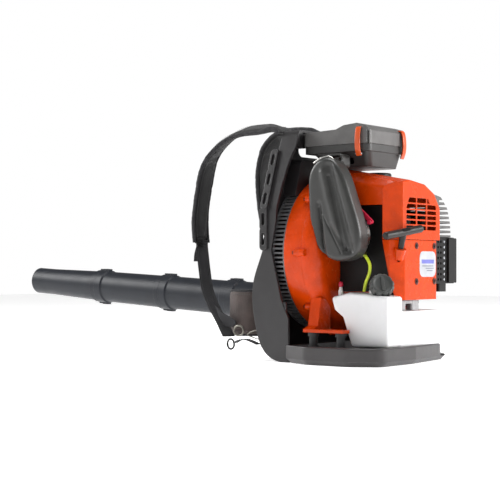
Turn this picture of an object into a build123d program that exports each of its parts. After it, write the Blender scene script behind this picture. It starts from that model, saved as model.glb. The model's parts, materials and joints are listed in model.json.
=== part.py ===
from build123d import *
import math
import os

os.makedirs("parts", exist_ok=True)

# Backpack leaf blower, in millimetres.
# The origin is under the middle of the base plate, on the floor. +X is the wearer's right,
# +Y the way the wearer faces and +Z up. Depths below are Y, heights are Z.

# ---- driving dimensions ----
wall = 3.0
gap = 0.3

frame_top = 505.0
frame_half_low = 178.0
frame_half_top = 120.0
frame_shoulder = 330.0
frame_skin = 6.0
seam_depth = 84.0

foot_height = 38.0
foot_bevel = 10.0
foot_left = -216.0
foot_right = 192.0

crank_height = 235.0
volute_radius = 175.0
volute_front = 100.0
volute_split = 52.0
volute_rear = 15.0
tongue_height = 150.0
outlet_side = 158.0
outlet_depth = 58.0
outlet_height = 95.0
outlet_bore = 42.0

cage_rear = 100.5
cage_front = 134.5
cage_radius = 170.0

fan_radius = 128.0
shaft_radius = 7.5
crank_throw = 16.0
web_radius = 33.0
crankpin_radius = 6.0
cylinder_depth = -32.0
bore_radius = 23.5
cylinder_foot = 270.0
cylinder_head = 352.0
flywheel_depth = -84.0
starter_rear = -140.0

cover_left = -100.0
cover_right = 80.0
cover_top = 415.0

filter_left = -100.0
filter_right = 52.0
filter_front = 103.0
filter_rear = -70.0

tube_side_offset = 236.0
tube_rise = 3.27
elbow_end = 92.0
hose_end = 262.0
ring_1 = 505.0
ring_2 = 735.0
ring_3 = 979.0
nozzle_end = 1241.0
handle_place = 340.0

strap_width = 56.0
strap_side = 100.0
webbing_width = 30.0


# ---- planes and shared shapes ----
def at_y(depth):
    """Plane across the machine: local x is X, local y is Z, and extrude goes rearwards."""
    return Plane.XZ.offset(-depth)


def at_x(side):
    """Plane along the machine: local x is Y, local y is Z, and extrude goes to +X."""
    return Plane.YZ.offset(side)


def facing(point, direction, across=None):
    """Plane at a point whose normal is the given direction."""
    if across is None:
        return Plane(origin=point, z_dir=direction)
    return Plane(origin=point, x_dir=across, z_dir=direction)


def step_along(point, direction, distance):
    """The point reached from here by going a distance along a unit direction."""
    return tuple(p + distance * d for p, d in zip(point, direction))


def ribbon(points, thickness):
    """Closed outline, in the plane of its points, of a strap of even thickness along them."""
    left = []
    right = []
    for i, (x, y) in enumerate(points):
        before = points[max(i - 1, 0)]
        after = points[min(i + 1, len(points) - 1)]
        run = math.dist(before, after)
        across = (-(after[1] - before[1]) / run, (after[0] - before[0]) / run)
        left.append((x + across[0] * thickness / 2, y + across[1] * thickness / 2))
        right.append((x - across[0] * thickness / 2, y - across[1] * thickness / 2))
    with BuildSketch() as outline:
        with BuildLine():
            Spline(*left)
            Spline(*right)
            Line(left[0], right[0])
            Line(left[-1], right[-1])
        make_face()
    return outline.sketch


# ---- back frame ----
frame_front = [(138, 505), (142, 430), (142, 329), (150, 250), (178, 172), (173, 80), (152, 26), (104, 0)]
frame_inside = [(132, 520), (136, 430), (136, 329), (144, 250), (171, 171), (166, 84), (145, 35), (104, 9)]
flange_rear = [(seam_depth, 0), (seam_depth, 60), (84, 95), (103, 134), (130, 242), (117, 306), (114, 382),
               (106, 440), (96, 470), (96, 505)]


def frame_outline(inset):
    """Front outline of the frame, drawn inside its edge by inset."""
    half_low = frame_half_low - inset
    half_top = frame_half_top - inset
    with BuildSketch(at_y(220)) as outline:
        with BuildLine():
            Polyline((-half_low, -5), (-half_low, frame_shoulder), (-half_top, frame_top - inset),
                     (half_top, frame_top - inset), (half_low, frame_shoulder), (half_low, -5), close=True)
        make_face()
        fillet(outline.vertices().group_by(Axis.Y)[-1], radius=18)
        fillet(outline.vertices().group_by(Axis.Y)[1], radius=60)
    return outline.sketch


with BuildPart() as frame_pocket:
    with BuildSketch(at_x(-frame_half_low)):
        with BuildLine():
            Spline(*frame_inside)
            Polyline(frame_inside[-1], (40, 9), (40, 520), frame_inside[0])
        make_face()
    extrude(amount=2 * frame_half_low)
    extrude(frame_outline(frame_skin), amount=200, mode=Mode.INTERSECT)

with BuildPart() as back_frame:
    with BuildSketch(at_x(-frame_half_low)):
        with BuildLine():
            Spline(*frame_front)
            Polyline(frame_front[-1], *flange_rear, frame_front[0])
        make_face()
    extrude(amount=2 * frame_half_low)
    extrude(frame_outline(0), amount=200, mode=Mode.INTERSECT)
    add(frame_pocket.part, mode=Mode.SUBTRACT)
    # hand hole under the top rail, which is how the machine is carried
    with BuildSketch(at_y(170)):
        with Locations((0, 466)):
            SlotOverall(136, 30)
    extrude(amount=60, mode=Mode.SUBTRACT)
    # cooling slots behind the back pad
    with BuildSketch(at_y(190)):
        with Locations((0, 215)):
            with GridLocations(34, 1, 5, 1):
                SlotOverall(64, 12, rotation=90)
    extrude(amount=70, mode=Mode.SUBTRACT)
    # room for the air outlet through the right flange
    with BuildSketch(at_x(140)):
        with Locations((outlet_depth, outlet_height)):
            Circle(54)
    extrude(amount=60, mode=Mode.SUBTRACT)
    # stiffening ribs inside, either side of the engine
    for side in (-120, 108):
        with BuildSketch(at_x(side)):
            with BuildLine():
                Polyline((143, 200), (150, 240), (158, 240), (172, 172), (168, 100), (142, 100), (142, 200),
                         close=True)
            make_face()
        extrude(amount=5)
    # ribbed arms that carry the air filter box behind the top rail
    with BuildSketch(at_y(137)):
        with Locations((-98, 483), (98, 483)):
            Rectangle(24, 34)
        with Locations((0, 494)):
            Rectangle(196, 7)
    extrude(amount=137 - filter_front - gap)
    with BuildSketch(Plane.XY.offset(466)):
        with Locations((-98, 117), (98, 117)):
            with GridLocations(1, 7, 1, 4):
                Rectangle(30, 2.6)
    extrude(amount=24, mode=Mode.SUBTRACT)

# rails up both front edges, with a blind slot at each height the harness can be set to
rail_slot = 43.0
rail_depth = 148.0
rail_thick = 7.0
edge_lean = math.atan2(frame_half_low - frame_half_top, frame_top - frame_shoulder)
with BuildPart() as harness_rails:
    for i in range(5):
        height = 266.0 + i * rail_slot
        above = max(0.0, height - frame_shoulder)
        lean = edge_lean if above > 0 else 0.0
        side = frame_half_low - above * math.tan(edge_lean) - 2.0
        outward = (-math.cos(lean), 0, math.sin(lean))
        ring_plane = facing((-side, rail_depth, height), outward, (0, 1, 0))
        with BuildSketch(ring_plane):
            SlotOverall(rail_slot + 8, 19, rotation=90)
            with Locations((-7, 0)):
                Rectangle(6, rail_slot + 2)
            SlotOverall(27, 8.5, rotation=90, mode=Mode.SUBTRACT)
        extrude(amount=rail_thick)
    mirror(about=Plane.YZ)
    add(back_frame.part, mode=Mode.SUBTRACT)

# ---- base plate ----
mount_places = [(-163, 28), (-163, -42), (163, -8), (163, -42)]
with BuildPart() as foot_plate:
    with BuildSketch(Plane.XY.offset(foot_bevel)):
        with BuildLine():
            Polyline((foot_left + 30, seam_depth - gap), (foot_left, 16), (foot_left, -92),
                     (foot_left + 38, -156), (-50, -156), (122, -130), (foot_right, -66),
                     (foot_right, 20), (frame_half_low - 4, seam_depth - gap), close=True)
        make_face()
        fillet(vertices().sort_by(Axis.Y)[:-2], radius=30)
    extrude(amount=foot_height - foot_bevel)
    extrude(foot_plate.faces().sort_by(Axis.Z)[0], amount=foot_bevel, taper=45)
    fillet(foot_plate.faces().sort_by(Axis.Z)[-1].edges(), radius=3)
    # the well that the tank sits in
    with BuildSketch(Plane.XY.offset(12)):
        with Locations((-6, -32)):
            RectangleRounded(368, 206, 24)
    extrude(amount=60, mode=Mode.SUBTRACT)
    # drain notch in the rear rim
    with BuildSketch(Plane.XY.offset(10)):
        with Locations((104, -128)):
            Rectangle(20, 44, rotation=10)
    extrude(amount=60, mode=Mode.SUBTRACT)
    # two seats for the engine unit's rubber mounts
    with BuildSketch(Plane.XY.offset(10)):
        with Locations(*mount_places):
            Circle(15)
    extrude(amount=20)


# ---- blower housing, a spiral that widens to the outlet at the lower right ----
def volute_outline(depth, inset):
    """Face across the blower housing at a depth, drawn inside its outer edge by inset."""
    low = crank_height - volute_radius + inset
    top = crank_height + volute_radius - inset
    side = outlet_side - inset
    with BuildSketch(at_y(depth)) as outline:
        with BuildLine():
            Polyline((0, low), (side, low - 6), (side, tongue_height))
            TangentArc((0, top), (side, tongue_height), tangent=(1, 0))
            ThreePointArc((0, top), (-volute_radius + inset, crank_height), (0, low))
        make_face()
    return outline.sketch


outlet_centre = (0, outlet_depth, outlet_height)
with BuildPart() as volute_air:
    extrude(volute_outline(volute_front - wall, wall), amount=volute_front - volute_rear - 2 * wall)
    fillet(volute_air.edges().group_by(Axis.Y)[0], radius=28)

with BuildPart() as volute_whole:
    extrude(volute_outline(volute_front, 0), amount=volute_front - volute_rear)
    fillet(volute_whole.edges().group_by(Axis.Y)[0], radius=30)
    fillet(volute_whole.edges().group_by(Axis.Y)[-1], radius=5)
    with BuildSketch(Plane.YZ.offset(140)):
        with Locations((outlet_depth, outlet_height)):
            Circle(outlet_bore + wall)
    extrude(amount=50)
    add(volute_air.part, mode=Mode.SUBTRACT)
    with BuildSketch(Plane.YZ.offset(130)):
        with Locations((outlet_depth, outlet_height)):
            Circle(outlet_bore)
    extrude(amount=80, mode=Mode.SUBTRACT)

screw_angles = [100, 140, 180, 220, 255]
boss_ring = volute_radius + 5


def boss_place(angle):
    """Place of a joint screw round the housing, as X and Z."""
    turn = math.radians(angle)
    return (boss_ring * math.cos(turn), crank_height + boss_ring * math.sin(turn))


with BuildPart() as volute_front_half:
    add(volute_whole.part)
    split(bisect_by=Plane.XZ.offset(-volute_split), keep=Keep.BOTTOM)
    # inlet eye facing the frame, with a rolled lip
    with BuildSketch(at_y(volute_front + 1)):
        with Locations((0, crank_height)):
            Circle(92)
    extrude(amount=12, mode=Mode.SUBTRACT)
    with BuildSketch(at_y(volute_front)):
        with Locations((0, crank_height)):
            Circle(96)
            Circle(90, mode=Mode.SUBTRACT)
    extrude(amount=9)
    # screw bosses round the joint
    for angle in screw_angles:
        with BuildSketch(at_y(volute_split + 12)):
            with Locations(boss_place(angle)):
                Circle(7.5)
        extrude(amount=12)
        with BuildSketch(at_y(volute_split + 12)):
            with Locations(boss_place(angle)):
                Circle(2.2)
        extrude(amount=12, mode=Mode.SUBTRACT)

with BuildPart() as volute_rear_half:
    add(volute_whole.part)
    split(bisect_by=Plane.XZ.offset(-volute_split), keep=Keep.TOP)
    # hole for the crankshaft and the crankcase spigot
    with BuildSketch(at_y(volute_rear + 30)):
        with Locations((0, crank_height)):
            Circle(40)
    extrude(amount=40, mode=Mode.SUBTRACT)
    for angle in screw_angles:
        with BuildSketch(at_y(volute_split)):
            with Locations(boss_place(angle)):
                Circle(7.5)
        extrude(amount=14)
    # left foot, stepped down from the housing to the rubber mounts
    with BuildSketch(at_y(46)):
        with BuildLine():
            Polyline((-176, 66), (-176, 73), (-158, 80), (-146, 140), (-110, 130), (-112, 66), close=True)
        make_face()
    extrude(amount=26)
    with BuildSketch(Plane.XY.offset(66)):
        with Locations((-163, -6)):
            RectangleRounded(26, 104, 6)
    extrude(amount=7)
    # right foot, behind the outlet
    with BuildSketch(Plane.XY.offset(66)):
        with Locations((160, -22)):
            Rectangle(32, 74)
    extrude(amount=7)
    with BuildSketch(Plane.XY.offset(66)):
        with Locations((150, 4)):
            Rectangle(12, 40)
    extrude(amount=50)
    add(volute_air.part, mode=Mode.SUBTRACT)
    with BuildSketch(at_x(120)):
        with Locations((outlet_depth, outlet_height)):
            Circle(outlet_bore)
    extrude(amount=80, mode=Mode.SUBTRACT)
    with BuildSketch(at_y(volute_split)):
        for angle in screw_angles:
            with Locations(boss_place(angle)):
                Circle(2.2)
    extrude(amount=10, mode=Mode.SUBTRACT)

# ---- cage between the housing and the frame, which keeps clothing out of the fan ----
cage_bars = 108
with BuildPart() as intake_cage:
    for depth in (cage_rear + 4, cage_front):
        with BuildSketch(at_y(depth)):
            with Locations((0, crank_height)):
                Circle(cage_radius)
                Circle(cage_radius - 7, mode=Mode.SUBTRACT)
        extrude(amount=4)
    with BuildSketch(at_y(cage_front - 2)):
        with Locations((0, crank_height)):
            with PolarLocations(cage_radius - 3.2, cage_bars):
                Rectangle(4.4, 4.0)
    extrude(amount=cage_front - cage_rear - 4)

# hood over the top of the cage
with BuildPart() as intake_hood:
    with BuildSketch(at_y(138)):
        with BuildLine():
            Polyline((-128, 360), (-104, 441), (104, 441), (128, 360), close=True)
        make_face()
        fillet(vertices().sort_by(Axis.Y)[-2:], radius=18)
        with Locations((0, crank_height)):
            Circle(cage_radius + 1, mode=Mode.SUBTRACT)
    extrude(amount=138 - volute_front - 1)

# ---- fan, crankshaft and flywheel, which turn together ----
fan_blades = 22
with BuildPart() as fan_wheel:
    with BuildSketch(at_y(28)):
        with Locations((0, crank_height)):
            Circle(fan_radius)
    extrude(amount=4)
    with BuildSketch(at_y(84)):
        with Locations((0, crank_height)):
            Circle(fan_radius)
            Circle(fan_radius - 22, mode=Mode.SUBTRACT)
    extrude(amount=2.5)
    with BuildSketch(at_y(82)):
        with Locations((0, crank_height)):
            with PolarLocations(96, fan_blades):
                Rectangle(60, 2.6, rotation=38)
        with Locations((0, crank_height)):
            Circle(fan_radius - 0.5, mode=Mode.INTERSECT)
    extrude(amount=54)
    with BuildSketch(at_y(58)):
        with Locations((0, crank_height)):
            Circle(20)
    extrude(amount=32)
    with BuildSketch(at_y(60)):
        with Locations((0, crank_height)):
            Circle(shaft_radius)
    extrude(amount=40, mode=Mode.SUBTRACT)

with BuildPart() as crankshaft:
    with BuildSketch(at_y(68)):
        with Locations((0, crank_height)):
            Circle(shaft_radius)
    extrude(amount=86)
    with BuildSketch(at_y(-50)):
        with Locations((0, crank_height)):
            Circle(shaft_radius)
    extrude(amount=58)
    for depth in (-14, -42):
        with BuildSketch(at_y(depth)):
            with Locations((0, crank_height)):
                Circle(web_radius)
                Rectangle(70, 40, align=(Align.CENTER, Align.MIN), mode=Mode.SUBTRACT)
            with Locations((0, crank_height + 6)):
                Rectangle(22, 34)
        extrude(amount=10)
    with BuildSketch(at_y(-20)):
        with Locations((0, crank_height + crank_throw)):
            Circle(crankpin_radius)
    extrude(amount=26)

with BuildPart() as flywheel:
    with BuildSketch(at_y(flywheel_depth - 6)):
        with Locations((0, crank_height)):
            Circle(50)
            Circle(shaft_radius, mode=Mode.SUBTRACT)
    extrude(amount=8)
    with BuildSketch(at_y(flywheel_depth)):
        with Locations((0, crank_height)):
            Circle(50)
            Circle(42, mode=Mode.SUBTRACT)
            with PolarLocations(36, 12):
                Rectangle(22, 2.5, rotation=30)
            Circle(49.5, mode=Mode.INTERSECT)
    extrude(amount=7)
    # cup that the starter's pawls catch
    with BuildSketch(at_y(flywheel_depth - 13)):
        with Locations((0, crank_height)):
            Circle(24)
            Circle(shaft_radius, mode=Mode.SUBTRACT)
    extrude(amount=4.2)
    with BuildSketch(at_y(flywheel_depth - 17)):
        with Locations((0, crank_height)):
            Circle(24)
            Circle(20, mode=Mode.SUBTRACT)
            with PolarLocations(18.8, 4):
                Rectangle(4, 3)
    extrude(amount=7)

# ---- engine ----
case_split = cylinder_depth


def crankcase_half(front, rear, inner_front, inner_rear):
    """One half of the crankcase between two depths, hollow between the inner depths."""
    with BuildPart() as half:
        with BuildSketch(at_y(front)):
            with Locations((0, crank_height)):
                Circle(48)
            with Locations((0, 205)):
                Rectangle(84, 72)
            with Locations((0, 252)):
                Rectangle(76, 36)
        extrude(amount=front - rear)
        with BuildSketch(at_y(inner_front)):
            with Locations((0, crank_height)):
                Circle(38)
        extrude(amount=inner_front - inner_rear, mode=Mode.SUBTRACT)
        with BuildSketch(Plane.XY.offset(cylinder_foot)):
            Rectangle(200, 300)
        extrude(amount=40, mode=Mode.SUBTRACT)
        # mouth for the cylinder
        with BuildSketch(Plane.XY.offset(crank_height)):
            with Locations((0, cylinder_depth)):
                Circle(bore_radius + 3.2)
        extrude(amount=60, mode=Mode.SUBTRACT)
        with BuildSketch(at_y(front + 1)):
            with Locations((0, crank_height)):
                Circle(16.03)
        extrude(amount=front - rear + 2, mode=Mode.SUBTRACT)
    return half.part


with BuildPart() as crankcase_front:
    add(crankcase_half(14, case_split + 0.05, -8, case_split))

with BuildPart() as crankcase_rear:
    add(crankcase_half(case_split - 0.05, -74, case_split, -58))
    # cast feet below the starter
    with BuildSketch(Plane.XY.offset(112.6)):
        with Locations((-62, -122), (-8, -122)):
            RectangleRounded(30, 18, 6)
    extrude(amount=21.4)
    with BuildSketch(Plane.XY.offset(127)):
        with Locations((-35, -94)):
            Rectangle(84, 70)
    extrude(amount=7)
    with BuildSketch(Plane.XY.offset(134)):
        with Locations((-20, -66)):
            Rectangle(44, 14)
    extrude(amount=40)

with BuildPart() as main_bearings:
    for depth in (2, -62):
        with BuildSketch(at_y(depth)):
            with Locations((0, crank_height)):
                Circle(16)
                Circle(shaft_radius + 0.04, mode=Mode.SUBTRACT)
        extrude(amount=9)

# cylinder with cooling fins
fin_count = 9
with BuildPart() as cylinder:
    with BuildSketch(Plane.XY.offset(cylinder_foot - 8)):
        with Locations((0, cylinder_depth)):
            Circle(bore_radius + 3.0)
    extrude(amount=8.2)
    with BuildSketch(Plane.XY.offset(cylinder_foot + 0.2)):
        with Locations((0, cylinder_depth)):
            Circle(bore_radius + 5)
    extrude(amount=cylinder_head - cylinder_foot)
    for i in range(fin_count):
        with BuildSketch(Plane.XY.offset(cylinder_foot + 1 + i * 9.6)):
            with Locations((0, cylinder_depth)):
                RectangleRounded(92 - abs(i - 4) * 2, 78, 12)
        extrude(amount=2.4)
    with BuildSketch(Plane.XY.offset(cylinder_foot - 10)):
        with Locations((0, cylinder_depth)):
            Circle(bore_radius)
    extrude(amount=76, mode=Mode.SUBTRACT)
    # the skirt is cut away where the crank webs turn
    with BuildSketch(at_y(-5)):
        with Locations((0, crank_height)):
            Circle(web_radius + 1.0)
    extrude(amount=60, mode=Mode.SUBTRACT)
    with BuildSketch(Plane.XY.offset(330)):
        with Locations((0, cylinder_depth)):
            Circle(5.0)
    extrude(amount=40, mode=Mode.SUBTRACT)

with BuildPart() as piston:
    with BuildSketch(Plane.XY.offset(298)):
        with Locations((0, cylinder_depth)):
            Circle(bore_radius - 0.1)
    extrude(amount=34)
    for height in (324, 328):
        with BuildSketch(Plane.XY.offset(height)):
            with Locations((0, cylinder_depth)):
                Circle(bore_radius)
                Circle(bore_radius - 1.6, mode=Mode.SUBTRACT)
        extrude(amount=1.5, mode=Mode.SUBTRACT)
    with BuildSketch(Plane.XY.offset(297)):
        with Locations((0, cylinder_depth)):
            Rectangle(34, 18)
    extrude(amount=26, mode=Mode.SUBTRACT)
    with BuildSketch(at_y(20)):
        with Locations((0, 308)):
            Circle(4.6)
    extrude(amount=100, mode=Mode.SUBTRACT)

# the rod's big end is relieved to the crankpin's path, because the crank turns past it
with BuildPart() as connecting_rod:
    with BuildSketch(at_y(cylinder_depth + 6)):
        with Locations((0, 283)):
            Rectangle(9, 44)
        with Locations((0, 308)):
            Circle(8.5)
            Circle(4.6, mode=Mode.SUBTRACT)
        with Locations((0, 260)):
            Circle(10)
        with Locations((0, crank_height)):
            Circle(crank_throw + crankpin_radius + 0.6, mode=Mode.SUBTRACT)
    extrude(amount=12)

with BuildPart() as spark_plug:
    with BuildSketch(Plane.XY.offset(336)):
        with Locations((0, cylinder_depth)):
            Circle(4.9)
    extrude(amount=20)
    with BuildSketch(Plane.XY.offset(cylinder_head + 0.5)):
        with Locations((0, cylinder_depth)):
            RegularPolygon(10, 6)
    extrude(amount=9)
    with BuildSketch(Plane.XY.offset(361)):
        with Locations((0, cylinder_depth)):
            Circle(5.5)
    extrude(amount=14)

with BuildPart() as ignition_coil:
    with BuildSketch(at_y(-80)):
        with Locations((0, 302)):
            Rectangle(56, 26)
        with Locations((0, crank_height)):
            Circle(51.2, mode=Mode.SUBTRACT)
    extrude(amount=16)
    fillet(ignition_coil.edges().filter_by(Axis.Y), radius=2)
    # lead up to the boot over the spark plug
    with BuildLine() as lead_path:
        FilletPolyline((0, -88, 312), (0, -88, 375), (0, -36, 375), radius=18)
    with BuildSketch(Plane(origin=lead_path.line @ 0, z_dir=lead_path.line % 0)):
        Circle(3.5)
    sweep()
    with BuildSketch(Plane.XY.offset(364)):
        with Locations((0, cylinder_depth)):
            Circle(11)
    extrude(amount=26)
    with BuildSketch(Plane.XY.offset(363)):
        with Locations((0, cylinder_depth)):
            Circle(5.6)
    extrude(amount=13, mode=Mode.SUBTRACT)

# ---- engine cover ----
def cover_profile(depth, top, inset):
    """Outline of the engine cover at a depth, falling away towards the muffler side."""
    left = cover_left + inset
    right = cover_right - inset
    with BuildSketch(at_y(depth)) as outline:
        with BuildLine():
            Polyline((left, 263), (left, top - 22 - inset), (-84, top - 6 - inset), (-47, top - inset),
                     (15, top - 7 - inset), (56, top - 26 - inset), (right, top - 58 - inset), (right, 263),
                     close=True)
        make_face()
        fillet(outline.vertices().group_by(Axis.Y)[1:], radius=12)
    return outline.sketch


def cover_corner(inset):
    """Triangle cut off the cover's left rear corner in plan, to make the flat behind the left face."""
    with BuildSketch(Plane.XY.offset(240)) as outline:
        with BuildLine():
            Polyline((-106 + inset, -97 + inset), (-106 + inset, -150), (-68 + inset, -150), close=True)
        make_face()
    return outline.sketch


with BuildPart() as cover_room:
    loft([cover_profile(16, cover_top + 3, wall), cover_profile(starter_rear + wall, 389, wall)])
    extrude(cover_corner(wall), amount=200, mode=Mode.SUBTRACT)

with BuildPart() as engine_cover:
    loft([cover_profile(14.6, cover_top + 3, 0), cover_profile(starter_rear, 389, 0)])
    extrude(cover_corner(0), amount=200, mode=Mode.SUBTRACT)
    fillet(engine_cover.faces().sort_by(Axis.Y)[0].edges().sort_by(Axis.Z)[1:], radius=3)
    add(cover_room.part, mode=Mode.SUBTRACT)
    # open below over the engine, closed only behind, above the starter
    with BuildSketch(at_x(-110)):
        with Locations((-43, 298)):
            Rectangle(122, 76)
    extrude(amount=200, mode=Mode.SUBTRACT)
    # exhaust louvre in the rear face
    with BuildSketch(at_y(starter_rear + 8)):
        with BuildLine():
            Polyline((-62, 284), (-62, 330), (-50, 352), (28, 352), (34, 342), (62, 338), (62, 284),
                     close=True)
        make_face()
        fillet(vertices(), radius=4)
        for height in (294, 305, 316, 327, 340):
            with Locations((0, height)):
                Rectangle(140, 3.4, mode=Mode.SUBTRACT)
        for side in (-20, 22):
            with Locations((side, 316)):
                Rectangle(4, 90, mode=Mode.SUBTRACT)
    extrude(amount=20, mode=Mode.SUBTRACT)
    # window for the oval cap on top
    with BuildSketch(Plane.XY.offset(380)):
        with Locations((0, -32)):
            Ellipse(30.3, 27.3)
    extrude(amount=50, mode=Mode.SUBTRACT)

with BuildPart() as cover_cap:
    with BuildSketch(Plane.XY.offset(396)):
        with Locations((0, -32)):
            Ellipse(30, 27)
    extrude(amount=14)
    fillet(cover_cap.faces().sort_by(Axis.Z)[-1].edges(), radius=4)

# ---- recoil starter ----
pull_axis = (-0.2, -0.3, 0.9327)
grip_centre = (-91, -150, 277)
grip_left = (-148, -140, 268)
grip_right = (-34, -160, 286)
rope_mouth = step_along(grip_centre, pull_axis, -36)
with BuildPart() as starter_housing:
    with BuildSketch(Plane.XY.offset(135)):
        with BuildLine():
            Polyline((-95, -78), (-95, -118), (-68, starter_rear), (66, starter_rear), (66, -78), close=True)
        make_face()
    extrude(amount=127)
    fillet(starter_housing.edges().filter_by(Axis.Z).group_by(Axis.Y)[0], radius=5)
    with BuildSketch(Plane.XY.offset(138)):
        with BuildLine():
            Polyline((-92, -77), (-92, -116.6), (-66.8, -137), (63, -137), (63, -77), close=True)
        make_face()
    extrude(amount=121, mode=Mode.SUBTRACT)
    # room for the flywheel
    with BuildSketch(at_y(-70)):
        with Locations((0, crank_height)):
            Circle(53)
    extrude(amount=36, mode=Mode.SUBTRACT)
    # opening over the pulley
    with BuildSketch(at_y(-106)):
        with Locations((0, crank_height)):
            Circle(32)
    extrude(amount=17, mode=Mode.SUBTRACT)
    # the left wall's front edge leans back towards the bottom
    with BuildSketch(at_x(-100)):
        with BuildLine():
            Polyline((-70, 270), (-99, 270), (-128, 130), (-70, 130), close=True)
        make_face()
    extrude(amount=26, mode=Mode.SUBTRACT)
    # post that the pulley turns on
    with BuildSketch(at_y(-110.5)):
        with Locations((0, crank_height)):
            Circle(5)
    extrude(amount=27)
    for side in (-21, 54):
        for height in (174, 250):
            with BuildSketch(at_y(-136.5)):
                with Locations((side, height)):
                    Circle(5.2)
            extrude(amount=4, mode=Mode.SUBTRACT)
            with BuildSketch(at_y(-122)):
                with Locations((side, height)):
                    Circle(5.6)
            extrude(amount=15.5)
            with BuildSketch(at_y(-121)):
                with Locations((side, height)):
                    Circle(2.3)
            extrude(amount=25, mode=Mode.SUBTRACT)
            with BuildSketch(at_y(-137.5)):
                with Locations((side, height)):
                    Circle(4.8)
            extrude(amount=6, mode=Mode.SUBTRACT)
    # guide that the rope leaves by
    with BuildSketch(facing(step_along(rope_mouth, pull_axis, -24), pull_axis)):
        Circle(9)
    with BuildSketch(facing(rope_mouth, pull_axis)):
        Circle(12)
    loft()
    with BuildSketch(facing(step_along(rope_mouth, pull_axis, -30), pull_axis)):
        Circle(3)
    extrude(amount=40, mode=Mode.SUBTRACT)

with BuildPart() as housing_screws:
    for angle in screw_angles:
        with BuildSketch(at_y(volute_split + 17)):
            with Locations(boss_place(angle)):
                Circle(4.2)
                RegularPolygon(2.1, 6, mode=Mode.SUBTRACT)
        extrude(amount=2.4)
        with BuildSketch(at_y(volute_split + 14.6)):
            with Locations(boss_place(angle)):
                Circle(4.2)
        extrude(amount=2.6)
        with BuildSketch(at_y(volute_split + 12)):
            with Locations(boss_place(angle)):
                Circle(2.0)
        extrude(amount=21)
    for side in (-21, 54):
        for height in (174, 250):
            with BuildSketch(at_y(-137.6)):
                with Locations((side, height)):
                    Circle(4.4)
                    RegularPolygon(2.2, 6, mode=Mode.SUBTRACT)
            extrude(amount=3)
            with BuildSketch(at_y(-122.5)):
                with Locations((side, height)):
                    Circle(2.1)
            extrude(amount=15.1)

with BuildPart() as starter_pulley:
    with BuildSketch(at_y(-110.5)):
        with Locations((0, crank_height)):
            Circle(30)
    extrude(amount=2)
    with BuildSketch(at_y(-112.5)):
        with Locations((0, crank_height)):
            Circle(24)
    extrude(amount=6)
    with BuildSketch(at_y(-118.5)):
        with Locations((0, crank_height)):
            Circle(30)
    extrude(amount=2)
    with BuildSketch(at_y(-110)):
        with Locations((0, crank_height)):
            Circle(5.05)
    extrude(amount=12, mode=Mode.SUBTRACT)

spring_turns = 5
spring_steps = 14
spring_path = []
for i in range(spring_turns * spring_steps + 1):
    angle = 2 * math.pi * i / spring_steps
    reach = 8 + 2.3 * i / spring_steps
    spring_path.append((reach * math.cos(angle), crank_height + reach * math.sin(angle)))
with BuildPart() as recoil_spring:
    with BuildSketch(at_y(-122)):
        add(ribbon(spring_path, 0.8))
    extrude(amount=12)

with BuildPart() as starter_handle:
    with BuildSketch(facing(step_along(rope_mouth, pull_axis, 0.6), pull_axis)):
        Circle(6)
    with BuildSketch(facing(grip_centre, pull_axis)):
        Circle(7.5)
    loft()
    grip_way = tuple((b - a) / math.dist(grip_left, grip_right) for a, b in zip(grip_left, grip_right))
    with BuildSketch(facing(grip_left, grip_way)):
        Circle(8.2)
    extrude(amount=math.dist(grip_left, grip_right))
    fillet(starter_handle.edges().filter_by(GeomType.CIRCLE).sort_by(Axis.X)[0], radius=4)
    fillet(starter_handle.edges().filter_by(GeomType.CIRCLE).sort_by(Axis.X)[-1], radius=4)
    with BuildSketch(facing(step_along(rope_mouth, pull_axis, -1), pull_axis)):
        Circle(2.4)
    extrude(amount=16, mode=Mode.SUBTRACT)

with BuildPart() as starter_rope:
    with BuildSketch(facing(step_along(rope_mouth, pull_axis, -20), pull_axis)):
        Circle(1.8)
    extrude(amount=34)

# ---- exhaust side ----
muffler_skin = 1.6


def muffler_can(inset):
    """Rounded can of the muffler, drawn inside its outer skin by inset."""
    with BuildPart() as can:
        with BuildSketch(Plane.XY.offset(200 + inset)):
            with Locations((113, -52)):
                RectangleRounded(50 - 2 * inset, 64 - 2 * inset, 10 - inset)
        extrude(amount=130 - 2 * inset)
        fillet(can.edges().group_by(Axis.Z)[-1], radius=8 - inset)
        fillet(can.edges().group_by(Axis.Z)[0], radius=8 - inset)
    return can.part


with BuildPart() as muffler:
    add(muffler_can(0))
    with BuildSketch(at_x(46.3)):
        with Locations((cylinder_depth, 300)):
            RectangleRounded(30, 24, 8)
    extrude(amount=44)
    with BuildSketch(at_x(137)):
        with Locations((-52, 222)):
            Circle(9)
    extrude(amount=10)
    add(muffler_can(muffler_skin), mode=Mode.SUBTRACT)
    # exhaust gas comes in from the cylinder and leaves by the pipe
    with BuildSketch(at_x(46)):
        with Locations((cylinder_depth, 300)):
            RectangleRounded(20, 14, 5)
    extrude(amount=50, mode=Mode.SUBTRACT)
    with BuildSketch(at_x(130)):
        with Locations((-52, 222)):
            Circle(7.2)
    extrude(amount=20, mode=Mode.SUBTRACT)

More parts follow.
